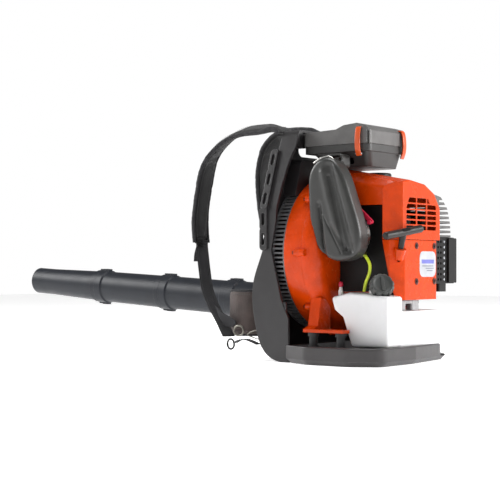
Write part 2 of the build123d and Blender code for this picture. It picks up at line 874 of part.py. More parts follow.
with BuildPart() as muffler_guard:
    with BuildSketch(Plane.XY.offset(168)):
        with Locations((133.5, -65)):
            RectangleRounded(97, 110, 8)
    extrude(amount=103)
    with BuildSketch(Plane.XY.offset(171)):
        with Locations((125, -65)):
            Rectangle(108, 104)
    extrude(amount=110, mode=Mode.SUBTRACT)
    with BuildSketch(at_y(-110)):
        with Locations((134, 219)):
            with GridLocations(1, 12, 1, 8):
                Circle(3.2)
        with Locations((112, 219)):
            with GridLocations(12, 12, 2, 8):
                Circle(3.2)
    extrude(amount=20, mode=Mode.SUBTRACT)
    with BuildSketch(at_y(-119.8)):
        with Locations((163, 219.5)):
            RectangleRounded(34, 100, 3)
    extrude(amount=5)
    with BuildSketch(Plane.XY.offset(150)):
        with Locations((132, -108)):
            RectangleRounded(34, 18, 5)
    extrude(amount=18)

with BuildPart() as exhaust_grille:
    with BuildSketch(at_y(-14)):
        with BuildLine():
            Polyline((84, 271.4), (164, 271.4), (161, 302), (148, 336), (120, 360), (84, 366), close=True)
        make_face()
        fillet(vertices().sort_by(Axis.Y)[2:5], radius=14)
    extrude(amount=105)
    with BuildSketch(at_y(-16.5)):
        with BuildLine():
            Polyline((80, 270), (161, 270), (158, 301), (146, 334), (119, 357), (80, 363), close=True)
        make_face()
    extrude(amount=99.5, mode=Mode.SUBTRACT)
    with BuildSketch(at_y(-24)):
        with Locations((150, 315)):
            with GridLocations(1, 10.4, 1, 8):
                Rectangle(76, 5)
    extrude(amount=110, mode=Mode.SUBTRACT)

# ---- intake side ----
venturi = (-30, 276)
clamp_centre = (-34.5, 271)
lever_pivot = (-50, 338)
lever_tip = (-88, 298)
with BuildPart() as side_shroud:
    with BuildSketch(at_x(-84)):
        with BuildLine():
            Polyline((13, 152), (13, 338), (-100, 338), (-100, 262), (-122, 152), close=True)
        make_face()
        with Locations(venturi):
            Rectangle(44, 48, mode=Mode.SUBTRACT)
    extrude(amount=2.6)

with BuildPart() as carburettor:
    with BuildSketch(at_x(-112)):
        with Locations(venturi):
            RectangleRounded(56, 54, 5)
    extrude(amount=26)
    with BuildSketch(at_x(-106)):
        with Locations((-30, 244)):
            Rectangle(44, 14)
    extrude(amount=16)
    # block that carries it on the cylinder
    with BuildSketch(at_x(-86)):
        with Locations(venturi):
            RectangleRounded(40, 42, 6)
    extrude(amount=39.6)
    with BuildSketch(at_x(-113)):
        with Locations(venturi):
            Circle(12)
    extrude(amount=70, mode=Mode.SUBTRACT)
    # nipple for the fuel line
    with BuildSketch(facing((-108, -49, 252.7), (0, -0.6, -0.8))):
        Circle(1.9)
    extrude(amount=17.4)

duct_edge = [(24, 427), (41, 400), (43, 366), (38, 300), (28, 262), (2, 230), (-44, 217), (-80, 234),
             (-84, 290), (-66, 344), (-42, 404), (-16, 432)]


duct_middle = (-22, 325)


def duct_outline(side, size):
    """Outline of the intake duct seen from its side, scaled about its middle."""
    points = [(duct_middle[0] + size * (y - duct_middle[0]), duct_middle[1] + size * (z - duct_middle[1]))
              for y, z in duct_edge]
    with BuildSketch(at_x(side)) as outline:
        with BuildLine():
            Spline(*points, periodic=True)
        make_face()
    return outline.sketch


with BuildPart() as volute_room:
    extrude(volute_outline(volute_front + 1, -1), amount=volute_front - volute_rear + 2)
    fillet(volute_room.edges().group_by(Axis.Y)[0], radius=30)

duct_grooves = [((14, 330), (2, 240), 6.5), ((-10, 396), (-52, 240), 8), ((8, 322), (-44, 232), 3.5)]
with BuildPart() as intake_duct:
    extrude(duct_outline(-165, 1), amount=37)
    fillet(intake_duct.faces().sort_by(Axis.X)[0].edges(), radius=10)
    # grooves down the outer face
    for start, finish, width in duct_grooves:
        middle = ((start[0] + finish[0]) / 2, (start[1] + finish[1]) / 2)
        turn = math.degrees(math.atan2(finish[1] - start[1], finish[0] - start[0]))
        with BuildSketch(at_x(-166)):
            with Locations(middle):
                SlotCenterToCenter(math.dist(start, finish), width, rotation=turn)
        extrude(amount=3.5, mode=Mode.SUBTRACT)
    with BuildSketch(at_x(-128)):
        with Locations(clamp_centre):
            Circle(46.8)
    extrude(amount=15)
    with BuildSketch(at_x(-130)):
        with Locations((-2, 430)):
            RectangleRounded(44, 30, 8)
    extrude(amount=29.7)
    # pin for the choke lever
    with BuildSketch(at_x(-129)):
        with Locations(lever_pivot):
            Circle(2.5)
    extrude(amount=14)
    extrude(duct_outline(-158, 0.88), amount=27, mode=Mode.SUBTRACT)
    with BuildSketch(at_x(-140)):
        with Locations(clamp_centre):
            Circle(43)
    extrude(amount=40, mode=Mode.SUBTRACT)
    with BuildSketch(at_x(-140)):
        with Locations((-2, 430)):
            RectangleRounded(36, 22, 6)
    extrude(amount=50, mode=Mode.SUBTRACT)
    add(volute_room.part, mode=Mode.SUBTRACT)
    with BuildSketch(at_y(volute_split + 1)):
        with Locations(boss_place(140)):
            Circle(8.2)
    extrude(amount=16, mode=Mode.SUBTRACT)

with BuildPart() as duct_clamp:
    with BuildSketch(at_x(-123)):
        with Locations(clamp_centre):
            Circle(49)
            Circle(46.95, mode=Mode.SUBTRACT)
    extrude(amount=9)
    with BuildSketch(at_x(-124)):
        with Locations((-66, 232)):
            Rectangle(12, 9, rotation=45)
        with Locations(clamp_centre):
            Circle(46.95, mode=Mode.SUBTRACT)
    extrude(amount=11)

with BuildPart() as choke_lever:
    with BuildSketch(at_x(-122)):
        with Locations(((lever_pivot[0] + lever_tip[0]) / 2, (lever_pivot[1] + lever_tip[1]) / 2)):
            SlotCenterToCenter(math.dist(lever_pivot, lever_tip), 8.5, rotation=42)
    extrude(amount=5)
    with BuildSketch(at_x(-127)):
        with Locations(lever_tip):
            Circle(4.2)
    extrude(amount=6)
    with BuildSketch(at_x(-130)):
        with Locations(lever_pivot):
            Circle(2.55)
    extrude(amount=20, mode=Mode.SUBTRACT)

# ---- air filter ----
filter_middle = ((filter_left + filter_right) / 2, (filter_front + filter_rear) / 2)
filter_size = (filter_right - filter_left, filter_front - filter_rear)
with BuildPart() as filter_base:
    with BuildSketch(Plane.XY.offset(420.5)):
        with Locations((-16, -2)):
            RectangleRounded(116, 108, 14)
    with BuildSketch(Plane.XY.offset(452)):
        with Locations((-22, 10)):
            RectangleRounded(138, 150, 16)
    loft()
    with BuildSketch(Plane.XY.offset(452)):
        with Locations(filter_middle):
            RectangleRounded(filter_size[0] - 3, filter_size[1] - 3, 15)
    extrude(amount=16)
    with BuildSketch(Plane.XY.offset(457)):
        with Locations(filter_middle):
            RectangleRounded(filter_size[0] - 11, filter_size[1] - 11, 12)
    extrude(amount=20, mode=Mode.SUBTRACT)
    with BuildSketch(Plane.XY.offset(425)):
        with Locations((-18, 0)):
            Rectangle(90, 84)
    extrude(amount=26, mode=Mode.SUBTRACT)
    with BuildSketch(Plane.XY.offset(440)):
        with Locations((-18, 0)):
            Rectangle(60, 60)
    extrude(amount=26, mode=Mode.SUBTRACT)
    with BuildSketch(at_x(-110)):
        with Locations((-2, 434)):
            RectangleRounded(36, 14, 4)
    extrude(amount=60, mode=Mode.SUBTRACT)

pleats = 12
pleat_run = 136.0 / pleats
pleat_line = []
for i in range(pleats):
    pleat_line.append((-50 + i * pleat_run, 458))
    pleat_line.append((-50 + (i + 0.5) * pleat_run, 490))
pleat_line.append((-50 + pleats * pleat_run, 458))
pleat_back = [(y, z + 4) for y, z in reversed(pleat_line)]
with BuildPart() as filter_element:
    with BuildSketch(at_x(-86)):
        with BuildLine():
            Polyline(*pleat_line, *pleat_back, close=True)
        make_face()
    extrude(amount=124)

with BuildPart() as filter_cover:
    with BuildSketch(at_x(filter_left)):
        with BuildLine():
            Polyline((filter_front, 468.3), (filter_front, 486), (94, 498), (14, 501), (-6, 509), (-40, 512),
                     (-62, 506), (filter_rear, 496), (filter_rear, 468.3), close=True)
        make_face()
    extrude(amount=filter_size[0])
    fillet(filter_cover.edges().filter_by(Axis.Z), radius=13)
    with BuildSketch(at_x(filter_left + 3)):
        with BuildLine():
            Polyline((100, 468), (100, 485), (92, 495), (14, 498), (-6, 506), (-40, 509), (-60, 503),
                     (-67, 494), (-67, 468), close=True)
        make_face()
    extrude(amount=filter_size[0] - 6, mode=Mode.SUBTRACT)

latch_foot = 447.0
with BuildPart() as filter_latch_left:
    with BuildSketch(Plane.XY.offset(latch_foot - 3)):
        with Locations((filter_left - 2.2, -46)):
            RectangleRounded(3.6, 13, 1.2)
    extrude(amount=57)
with BuildPart() as filter_latch_right:
    with BuildSketch(Plane.XY.offset(latch_foot - 3)):
        with Locations((34, filter_rear - 2.2)):
            RectangleRounded(13, 3.6, 1.2)
    extrude(amount=57)

# ---- fuel tank ----
tank_left = -146.0
tank_low = foot_height
tank_top = 150.0
tank_step = 111.5
cap_axis = (-0.6, -0.64, 0.48)
cap_centre = (-124, -118, 166)


def tank_side(side, inset):
    """Outline of the tank's tall left part, seen from the side."""
    with BuildSketch(at_x(side)) as outline:
        with BuildLine():
            Polyline((-5 - inset, 141 - inset), (-50, tank_top + 1 - inset), (-146 + inset, 143 - inset),
                     (-146 + inset, tank_low + inset), (-56 - inset, tank_low + inset),
                     (-34 - inset, 99 + inset), (-13 - inset, 114 + inset), close=True)
        make_face()
        fillet(vertices(), radius=7)
    return outline.sketch


with BuildPart() as tank_room:
    extrude(tank_side(tank_left + wall, wall), amount=56 - 2 * wall)
    with BuildSketch(Plane.XY.offset(tank_low + wall)):
        with Locations((-12, -98)):
            RectangleRounded(212 - 2 * wall, 84 - 2 * wall, 6)
    extrude(amount=tank_step - tank_low - 2 * wall)
    with BuildSketch(facing(step_along(cap_centre, cap_axis, -16), cap_axis)):
        Circle(30.5)
    extrude(amount=60, mode=Mode.SUBTRACT)

with BuildPart() as fuel_tank:
    extrude(tank_side(tank_left, 0), amount=56)
    fillet(fuel_tank.faces().sort_by(Axis.X)[0].edges(), radius=6)
    with BuildSketch(Plane.XY.offset(tank_low)):
        with Locations((-20, -98)):
            RectangleRounded(232, 84, 12)
    extrude(amount=tank_step - tank_low)
    # pocket in the corner that the cap sits in
    with BuildSketch(facing(step_along(cap_centre, cap_axis, -12.5), cap_axis)):
        Circle(27.5)
    extrude(amount=60, mode=Mode.SUBTRACT)
    with BuildSketch(facing(step_along(cap_centre, cap_axis, -34), cap_axis)):
        Circle(20)
    extrude(amount=30)
    add(tank_room.part, mode=Mode.SUBTRACT)
    with BuildSketch(facing(step_along(cap_centre, cap_axis, -44), cap_axis)):
        Circle(14)
    extrude(amount=60, mode=Mode.SUBTRACT)

with BuildPart() as fuel_cap:
    with BuildSketch(facing(step_along(cap_centre, cap_axis, -10), cap_axis)):
        Circle(26)
        with PolarLocations(26, 18):
            Circle(2.0, mode=Mode.SUBTRACT)
    extrude(amount=17)
    with BuildSketch(facing(step_along(cap_centre, cap_axis, 7), cap_axis)):
        Circle(22)
    extrude(amount=2.5)
    with BuildSketch(facing(step_along(cap_centre, cap_axis, -11), cap_axis)):
        Circle(20.6)
        Circle(13.4, mode=Mode.SUBTRACT)
    extrude(amount=8, mode=Mode.SUBTRACT)

fuel_route = [(-108, -64, 153), (-110, -69, 172), (-111, -80, 192), (-109.5, -80, 212), (-108, -68, 227.4),
              (-108, -59.6, 238.6)]
fuel_radii = [70, 34, 25, 100]
print("fuel line bend radii, mm:", fuel_radii)
with BuildPart() as fuel_line:
    with BuildLine() as fuel_path:
        FilletPolyline(*fuel_route, radius=fuel_radii)
    with BuildSketch(Plane(origin=fuel_path.line @ 0, z_dir=fuel_path.line % 0)):
        Circle(3.4)
    sweep()
print("fuel line length, mm:", round(sum(edge.length for edge in fuel_path.edges()), 1))

with BuildPart() as rubber_mounts:
    for place in mount_places:
        with BuildSketch(Plane.XY.offset(30.1)):
            with Locations(place):
                Circle(12)
        extrude(amount=8)
        with BuildSketch(Plane.XY.offset(38)):
            with Locations(place):
                Circle(9)
        extrude(amount=20)
        with BuildSketch(Plane.XY.offset(57.9)):
            with Locations(place):
                Circle(12)
        extrude(amount=8)

# ---- blow tube: everything below lies along one line that rises gently forwards ----
tilt = math.radians(tube_rise)
tube_way = (0, math.cos(tilt), math.sin(tilt))
tube_up = (0, -math.sin(tilt), math.cos(tilt))
tube_start = (tube_side_offset, outlet_depth, outlet_height)
tube_plan = Plane(origin=(0, outlet_depth, outlet_height), x_dir=(1, 0, 0), z_dir=tube_up)
tube_side = Plane(origin=tube_start, x_dir=tube_way, z_dir=(1, 0, 0))
tube_axis = Axis(tube_start, tube_way)


def across_tube(distance):
    """Plane across the tube, this far from the elbow's pivot, with local y pointing up."""
    return Plane(origin=step_along(tube_start, tube_way, distance), x_dir=(-1, 0, 0), z_dir=tube_way)


def tube_piece(outside, thickness):
    """Hollow round tube turned from its outside line, given as (distance, radius) points."""
    inside = [(x, r - thickness) for x, r in reversed(outside)]
    with BuildPart() as turned:
        with BuildSketch(tube_side):
            with BuildLine():
                Polyline(*outside, *inside, close=True)
            make_face()
        revolve(axis=tube_axis)
    return turned.part


elbow_outer = 47.0
elbow_bend = 50.0
with BuildPart() as tube_elbow:
    with BuildLine(tube_plan):
        Polyline((181, 0), (tube_side_offset - elbow_bend, 0))
        RadiusArc((tube_side_offset - elbow_bend, 0), (tube_side_offset, elbow_bend), -elbow_bend)
        Line((tube_side_offset, elbow_bend), (tube_side_offset, elbow_end))
    with BuildSketch(at_x(181)):
        with Locations((outlet_depth, outlet_height)):
            Circle(elbow_outer + 1.6)
            Circle(outlet_bore + wall + gap, mode=Mode.SUBTRACT)
    sweep()

with BuildPart() as flex_hose:
    folds = 11
    fold_run = (hose_end - elbow_end - 8) / folds
    with BuildSketch(tube_side):
        with BuildLine():
            hose_line = [(elbow_end + 0.4, 49.5)]
            for i in range(folds):
                hose_line.append((elbow_end + 4 + (i + 0.25) * fold_run, 53.0))
                hose_line.append((elbow_end + 4 + (i + 0.75) * fold_run, 48.0))
            hose_line.append((hose_end - 0.4, 49.5))
            hose_back = [(x, r - 3.2) for x, r in reversed(hose_line)]
            Polyline(*hose_line, *hose_back, close=True)
        make_face()
    revolve(axis=tube_axis)


def hose_clamp(distance):
    """Clamp band with a screw lug on top."""
    with BuildPart() as clamp:
        with BuildSketch(across_tube(distance)):
            Circle(51)
            Circle(elbow_outer + 1.9, mode=Mode.SUBTRACT)
            with Locations((0, 53)):
                Rectangle(12, 8)
                Circle(2.2, mode=Mode.SUBTRACT)
        extrude(amount=9)
    return clamp.part


with BuildPart() as hose_clamp_rear:
    add(hose_clamp(elbow_end - 13))

with BuildPart() as hose_clamp_front:
    add(hose_clamp(hose_end + 4))

tube_skin = 2.4
with BuildPart() as control_tube:
    add(tube_piece([(hose_end + 0.4, 48.6), (hose_end + 20, 48.6), (hose_end + 24, 45.5), (ring_1 - 26, 45.5),
                    (ring_1 - 23, 48.5), (ring_1 - 0.2, 48.5)], tube_skin))
    with BuildSketch(across_tube(ring_1 - 22)):
        with Locations((0, 49.5), (0, -49.5)):
            Rectangle(14, 6)
    extrude(amount=21)
    with BuildSketch(across_tube(ring_1 - 26)):
        Circle(43)
    extrude(amount=26, mode=Mode.SUBTRACT)


def blow_tube(start, finish, near, far):
    """Tube section with a bayonet collar at its far end and a spigot ring at its near end."""
    with BuildPart() as section:
        add(tube_piece([(start, near + 3.4), (start + 15, near + 3.4), (start + 18, near),
                        (finish - 26, far), (finish - 23, far + 3.2), (finish - 0.2, far + 3.2)], tube_skin))
        with BuildSketch(across_tube(finish - 22)):
            with Locations((0, far + 4.2), (0, -far - 4.2)):
                Rectangle(14, 6)
        extrude(amount=20)
        with BuildSketch(across_tube(start + 2)):
            with Locations((0, near + 4.4), (0, -near - 4.4)):
                Rectangle(9, 5)
        extrude(amount=11)
        with BuildSketch(across_tube(start - 2)):
            Circle(far - tube_skin - 1)
        extrude(amount=finish - start + 4, mode=Mode.SUBTRACT)
    return section.part


with BuildPart() as tube_middle:
    add(blow_tube(ring_1 + 0.2, ring_2, 44.5, 44))

with BuildPart() as tube_front:
    add(blow_tube(ring_2 + 0.2, ring_3, 43.8, 42.5))

nozzle_mouth = 37.0
with BuildPart() as nozzle:
    add(tube_piece([(ring_3 + 0.2, 45.4), (ring_3 + 16, 45.4), (ring_3 + 19, 41.5),
                    (nozzle_end - 60, nozzle_mouth), (nozzle_end, nozzle_mouth)], tube_skin))
    with BuildSketch(across_tube(ring_3 + 2)):
        with Locations((0, 46.2), (0, -46.2)):
            Rectangle(9, 5)
    extrude(amount=11)
    with BuildSketch(across_tube(ring_3 - 1)):
        Circle(nozzle_mouth)
    extrude(amount=20, mode=Mode.SUBTRACT)

# ---- control handle on the tube ----
handle_bore = 45.8
with BuildPart() as handle_clamp:
    with BuildSketch(across_tube(handle_place)):
        Circle(50)
        with Locations((0, 52)):
            Rectangle(30, 16)
        with Locations((0, -52)):
            Rectangle(22, 12)
        Circle(handle_bore, mode=Mode.SUBTRACT)
        with Locations((0, -54)):
            Rectangle(2.5, 20, mode=Mode.SUBTRACT)
    extrude(amount=44)


def along_tube(side):
    """Plane along the tube at a sideways distance from its axis: local x forwards, local y up."""
    origin = (tube_side_offset + side, outlet_depth, outlet_height)
    return Plane(origin=origin, x_dir=tube_way, z_dir=(1, 0, 0))


grip_base = handle_place + 6
grip_edge = [(grip_base - 4, 60.2), (grip_base + 40, 60.2), (grip_base + 42, 78), (grip_base + 34, 96),
             (grip_base + 38, 128), (grip_base + 48, 150), (grip_base + 66, 172), (grip_base + 62, 190),
             (grip_base + 34, 196), (grip_base + 10, 180), (grip_base, 140), (grip_base - 6, 90)]
trigger_pivot = (grip_base + 40, 158)
cruise_pivot = (grip_base + 24, 172)
switch_place = grip_base + 50
with BuildPart() as control_grip:
    with BuildSketch(along_tube(-16)):
        with BuildLine():
            Polyline(*grip_edge, close=True)
        make_face()
        fillet(vertices().sort_by(Axis.Y)[2:], radius=7)
    extrude(amount=32)
    fillet(control_grip.faces().sort_by(Axis.X)[0].edges().sort_by(Axis.Z)[3:], radius=5)
    fillet(control_grip.faces().sort_by(Axis.X)[-1].edges().sort_by(Axis.Z)[3:], radius=5)
    # slot for the trigger, with its pin across it
    with BuildSketch(along_tube(-6)):
        with BuildLine():
            Polyline((grip_base + 22, 108), (grip_base + 90, 108), (grip_base + 90, 170),
                     (grip_base + 30, 170), close=True)
        make_face()
    extrude(amount=12, mode=Mode.SUBTRACT)
    with BuildSketch(along_tube(-8)):
        with Locations(trigger_pivot):
            Circle(2)
    extrude(amount=16)
    # socket for the cruise lever
    with BuildSketch(along_tube(-17)):
        with Locations(cruise_pivot):
            Circle(3.05)
    extrude(amount=9, mode=Mode.SUBTRACT)
    # pocket for the stop switch
    with BuildSketch(along_tube(-5)):
        with Locations((switch_place, 195)):
            Rectangle(14, 22)
    extrude(amount=10, mode=Mode.SUBTRACT)

with BuildPart() as throttle_trigger:
    with BuildSketch(along_tube(-5.6)):
        with BuildLine():
            Polyline((trigger_pivot[0] - 6, 164), (trigger_pivot[0] + 14, 165), (trigger_pivot[0] + 16, 150),
                     (trigger_pivot[0] + 9, 128), (trigger_pivot[0] + 7, 114), (trigger_pivot[0], 112),
                     (trigger_pivot[0] - 2, 130), (trigger_pivot[0] - 6, 150), close=True)
        make_face()
        fillet(vertices(), radius=1.8)
        with Locations(trigger_pivot):
            Circle(2.05, mode=Mode.SUBTRACT)
    extrude(amount=11.2)

with BuildPart() as cruise_lever:
    with BuildSketch(along_tube(-21)):
        with Locations(cruise_pivot):
            Circle(8)
        with Locations((cruise_pivot[0] - 9, cruise_pivot[1] + 9)):
            SlotOverall(30, 8, rotation=135)
    extrude(amount=4.5)
    with BuildSketch(along_tube(-18)):
        with Locations(cruise_pivot):
            Circle(3)
    extrude(amount=9)

with BuildPart() as stop_switch:
    with BuildSketch(along_tube(-4.6)):
        with Locations((switch_place - 2, 190.8)):
            Rectangle(9.4, 13)
    extrude(amount=9.2)

# ---- harness: plain closed bodies of the padding and webbing ----
with BuildPart() as back_pad:
    with BuildSketch(at_x(-88)):
        add(ribbon([(157, 442), (154.5, 400), (154, 330), (160, 272)], 15))
    extrude(amount=176)

with BuildPart() as lumbar_pad:
    with BuildSketch(Plane.XY.offset(50)):
        add(ribbon([(-126, 284), (-138, 244), (-124, 208), (-62, 193), (0, 190.5), (62, 193), (124, 208),
                    (137, 230), (137, 240)], 15))
    extrude(amount=105)

pad_left_line = [(146, 497), (164, 511), (220, 518), (277, 515), (330, 492), (375, 447), (398, 372),
                 (406, 310), (402, 258)]
pad_right_line = [(146, 497), (166, 514), (220, 528), (275, 530), (318, 516), (350, 478), (364, 420),
                  (358, 350), (344, 290)]

with BuildPart() as shoulder_pad_left:
    with BuildSketch(at_x(-strap_side - strap_width / 2)):
        add(ribbon(pad_left_line, 13))
    extrude(amount=strap_width)

with BuildPart() as shoulder_pad_right:
    with BuildSketch(at_x(strap_side - strap_width / 2)):
        add(ribbon(pad_right_line, 13))
    extrude(amount=strap_width)

ring_side = 167.0
web_line = [(0, 0), (0.04, 0.12), (0.10, 0.28), (0.20, 0.48), (0.42, 0.66), (0.70, 0.82), (0.95, 0.98)]
hip_line = [(237, 37), (224, 43), (206, 45), (188, 41), (173, 36)]
with BuildPart() as webbing:
    for side, pad_line in ((-1, pad_left_line), (1, pad_right_line)):
        start = (side * strap_side, pad_line[-1][0] - 2, pad_line[-1][1] - 4)
        run = (side * ring_side - start[0], 252 - start[1])
        reach = math.hypot(*run)
        drop = start[2] - 46
        strap_plane = Plane(origin=start, x_dir=(run[0], run[1], 0), z_dir=(run[1], -run[0], 0))
        with BuildSketch(strap_plane.offset(-webbing_width / 2)):
            add(ribbon([(along * reach, -down * drop) for along, down in web_line], 3))
        extrude(amount=webbing_width)
        # short strap back to the foot of the frame
        with BuildSketch(at_x(side * ring_side - 9)):
            add(ribbon(hip_line, 3))
        extrude(amount=18)


def wire_ring(centre, size, wire):
    """Ring of round wire that stands fore and aft."""
    with BuildPart() as ring:
        with BuildSketch(Plane(origin=centre, x_dir=(1, 0, 0), z_dir=(0, 0, 1))):
            with Locations((0, size)):
                Circle(wire)
        revolve(axis=Axis(centre, (1, 0, 0)))
    return ring.part


with BuildPart() as harness_rings:
    for side in (-1, 1):
        add(wire_ring((side * ring_side, 226, 65), 15, 1.6))
        add(wire_ring((side * ring_side, 250, 33.5), 9.5, 1.6))

# the hood and the rails are moulded with the frame
with BuildPart() as whole_frame:
    add(back_frame.part)
    add(harness_rails.part)
    add(intake_hood.part)

pieces = {
    "back_frame": whole_frame,
    "foot_plate": foot_plate,
    "volute_front": volute_front_half,
    "volute_rear": volute_rear_half,
    "intake_cage": intake_cage,
    "fan_wheel": fan_wheel,
    "crankshaft": crankshaft,
    "flywheel": flywheel,
    "crankcase_front": crankcase_front,
    "crankcase_rear": crankcase_rear,
    "main_bearings": main_bearings,
    "cylinder": cylinder,
    "piston": piston,
    "connecting_rod": connecting_rod,
    "spark_plug": spark_plug,
    "ignition_coil": ignition_coil,
    "engine_cover": engine_cover,
    "cover_cap": cover_cap,
    "starter_housing": starter_housing,
    "housing_screws": housing_screws,
    "starter_pulley": starter_pulley,
    "recoil_spring": recoil_spring,
    "starter_handle": starter_handle,
    "starter_rope": starter_rope,
    "muffler": muffler,
    "muffler_guard": muffler_guard,
    "exhaust_grille": exhaust_grille,
    "side_shroud": side_shroud,
    "carburettor": carburettor,
    "intake_duct": intake_duct,
    "duct_clamp": duct_clamp,
    "choke_lever": choke_lever,
    "filter_base": filter_base,
    "filter_element": filter_element,
    "filter_cover": filter_cover,
    "filter_latch_left": filter_latch_left,
    "filter_latch_right": filter_latch_right,
    "fuel_tank": fuel_tank,
    "fuel_cap": fuel_cap,
    "fuel_line": fuel_line,
    "rubber_mounts": rubber_mounts,
    "tube_elbow": tube_elbow,
    "flex_hose": flex_hose,
    "hose_clamp_rear": hose_clamp_rear,
    "hose_clamp_front": hose_clamp_front,
    "control_tube": control_tube,
    "tube_middle": tube_middle,
    "tube_front": tube_front,
    "nozzle": nozzle,
    "handle_clamp": handle_clamp,
    "control_grip": control_grip,
    "throttle_trigger": throttle_trigger,
    "cruise_lever": cruise_lever,
    "stop_switch": stop_switch,
    "back_pad": back_pad,
    "lumbar_pad": lumbar_pad,
    "shoulder_pad_left": shoulder_pad_left,
    "shoulder_pad_right": shoulder_pad_right,
    "webbing": webbing,
    "harness_rings": harness_rings,
}
for label, piece in pieces.items():
    piece.part.label = label
    export_step(piece.part, f"parts/{label}.step")
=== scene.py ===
import json
import math
import random

import bmesh
import bpy
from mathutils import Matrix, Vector


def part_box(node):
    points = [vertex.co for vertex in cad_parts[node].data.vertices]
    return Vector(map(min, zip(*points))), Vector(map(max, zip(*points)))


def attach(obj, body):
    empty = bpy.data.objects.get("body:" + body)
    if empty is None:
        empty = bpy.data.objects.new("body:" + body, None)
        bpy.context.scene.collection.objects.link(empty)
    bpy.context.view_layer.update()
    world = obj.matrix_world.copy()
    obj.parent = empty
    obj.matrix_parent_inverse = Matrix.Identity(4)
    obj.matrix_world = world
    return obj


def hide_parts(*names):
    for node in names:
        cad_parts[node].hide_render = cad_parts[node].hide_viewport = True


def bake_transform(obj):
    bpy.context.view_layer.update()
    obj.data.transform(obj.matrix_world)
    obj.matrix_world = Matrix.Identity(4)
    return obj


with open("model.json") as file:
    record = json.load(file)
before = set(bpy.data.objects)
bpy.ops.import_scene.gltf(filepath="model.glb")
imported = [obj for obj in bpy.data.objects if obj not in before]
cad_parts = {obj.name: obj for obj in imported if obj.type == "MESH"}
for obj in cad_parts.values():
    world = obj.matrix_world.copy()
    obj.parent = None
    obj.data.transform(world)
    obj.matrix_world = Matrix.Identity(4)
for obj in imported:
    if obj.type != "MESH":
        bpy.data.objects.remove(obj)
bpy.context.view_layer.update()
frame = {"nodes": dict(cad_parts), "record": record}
random.seed(7)
collection = bpy.context.scene.collection


# ---- material helpers ----
class Surface:
    """A Principled material and the node tree it is built in."""

    def __init__(self, name, roughness=0.5, metallic=0.0, **sockets):
        self.material = bpy.data.materials.new(name)
        self.material.use_nodes = True
        self.tree = self.material.node_tree
        self.shader = self.tree.nodes["Principled BSDF"]
        self.shader.inputs["Roughness"].default_value = roughness
        self.shader.inputs["Metallic"].default_value = metallic
        for socket, value in sockets.items():
            self.shader.inputs[socket.replace("_", " ")].default_value = value
        self.place = self.node("TexCoord").outputs["Object"]
        self.normal = None

    def node(self, kind, **settings):
        made = self.tree.nodes.new("ShaderNode" + kind)
        for setting, value in settings.items():
            setattr(made, setting, value)
        return made

    def link(self, source, target):
        self.tree.links.new(source, target)

    def noise(self, scale, detail=3.0, stretch=(1, 1, 1)):
        mapping = self.node("Mapping")
        mapping.inputs["Scale"].default_value = stretch
        self.link(self.place, mapping.inputs["Vector"])
        noise = self.node("TexNoise")
        noise.inputs["Scale"].default_value = scale
        noise.inputs["Detail"].default_value = detail
        self.link(mapping.outputs["Vector"], noise.inputs["Vector"])
        return noise.outputs["Fac"]

    def wave(self, scale, direction, distortion=0.0):
        wave = self.node("TexWave", wave_type="BANDS", bands_direction=direction)
        wave.inputs["Scale"].default_value = scale
        wave.inputs["Distortion"].default_value = distortion
        self.link(self.place, wave.inputs["Vector"])
        return wave.outputs["Fac"]

    def mix(self, factor, first, second):
        mixer = self.node("Mix", data_type="RGBA")
        self.link(factor, mixer.inputs["Factor"])
        for value, socket in ((first, mixer.inputs["A"]), (second, mixer.inputs["B"])):
            if isinstance(value, tuple):
                socket.default_value = (*value, 1.0)
            else:
                self.link(value, socket)
        return mixer.outputs["Result"]

    def ramp(self, factor, low, high):
        """The factor stretched so that low goes to 0 and high to 1."""
        spread = self.node("MapRange")
        spread.inputs["From Min"].default_value = low
        spread.inputs["From Max"].default_value = high
        self.link(factor, spread.inputs["Value"])
        return spread.outputs["Result"]

    def multiply(self, first, second):
        product = self.node("Math", operation="MULTIPLY")
        self.link(first, product.inputs[0])
        self.link(second, product.inputs[1])
        return product.outputs["Value"]

    def between(self, factor, low, high):
        spread = self.node("MapRange")
        spread.inputs["To Min"].default_value = low
        spread.inputs["To Max"].default_value = high
        self.link(factor, spread.inputs["Value"])
        return spread.outputs["Result"]

    def rounded(self, radius):
        """Soft edges, so that moulded corners catch the light. Returns how much of an edge a point is."""
        bevel = self.node("Bevel", samples=4)
        bevel.inputs["Radius"].default_value = radius
        self.normal = bevel.outputs["Normal"]
        geometry = self.node("NewGeometry")
        dot = self.node("VectorMath", operation="DOT_PRODUCT")
        self.link(bevel.outputs["Normal"], dot.inputs[0])
        self.link(geometry.outputs["Normal"], dot.inputs[1])
        return self.ramp(dot.outputs["Value"], 0.995, 0.85)

    def bump(self, height, strength, distance=0.001):
        bump = self.node("Bump")
        bump.inputs["Strength"].default_value = strength
        bump.inputs["Distance"].default_value = distance
        self.link(height, bump.inputs["Height"])
        if self.normal is not None:
            self.link(self.normal, bump.inputs["Normal"])
        self.normal = bump.outputs["Normal"]

    def done(self, colour, roughness=None):
        self.link(colour, self.shader.inputs["Base Color"])
        if roughness is not None:
            self.link(roughness, self.shader.inputs["Roughness"])
        if self.normal is not None:
            self.link(self.normal, self.shader.inputs["Normal"])
        return self.material


def shade(colour, factor):
    return tuple(min(1.0, c * factor) for c in colour)


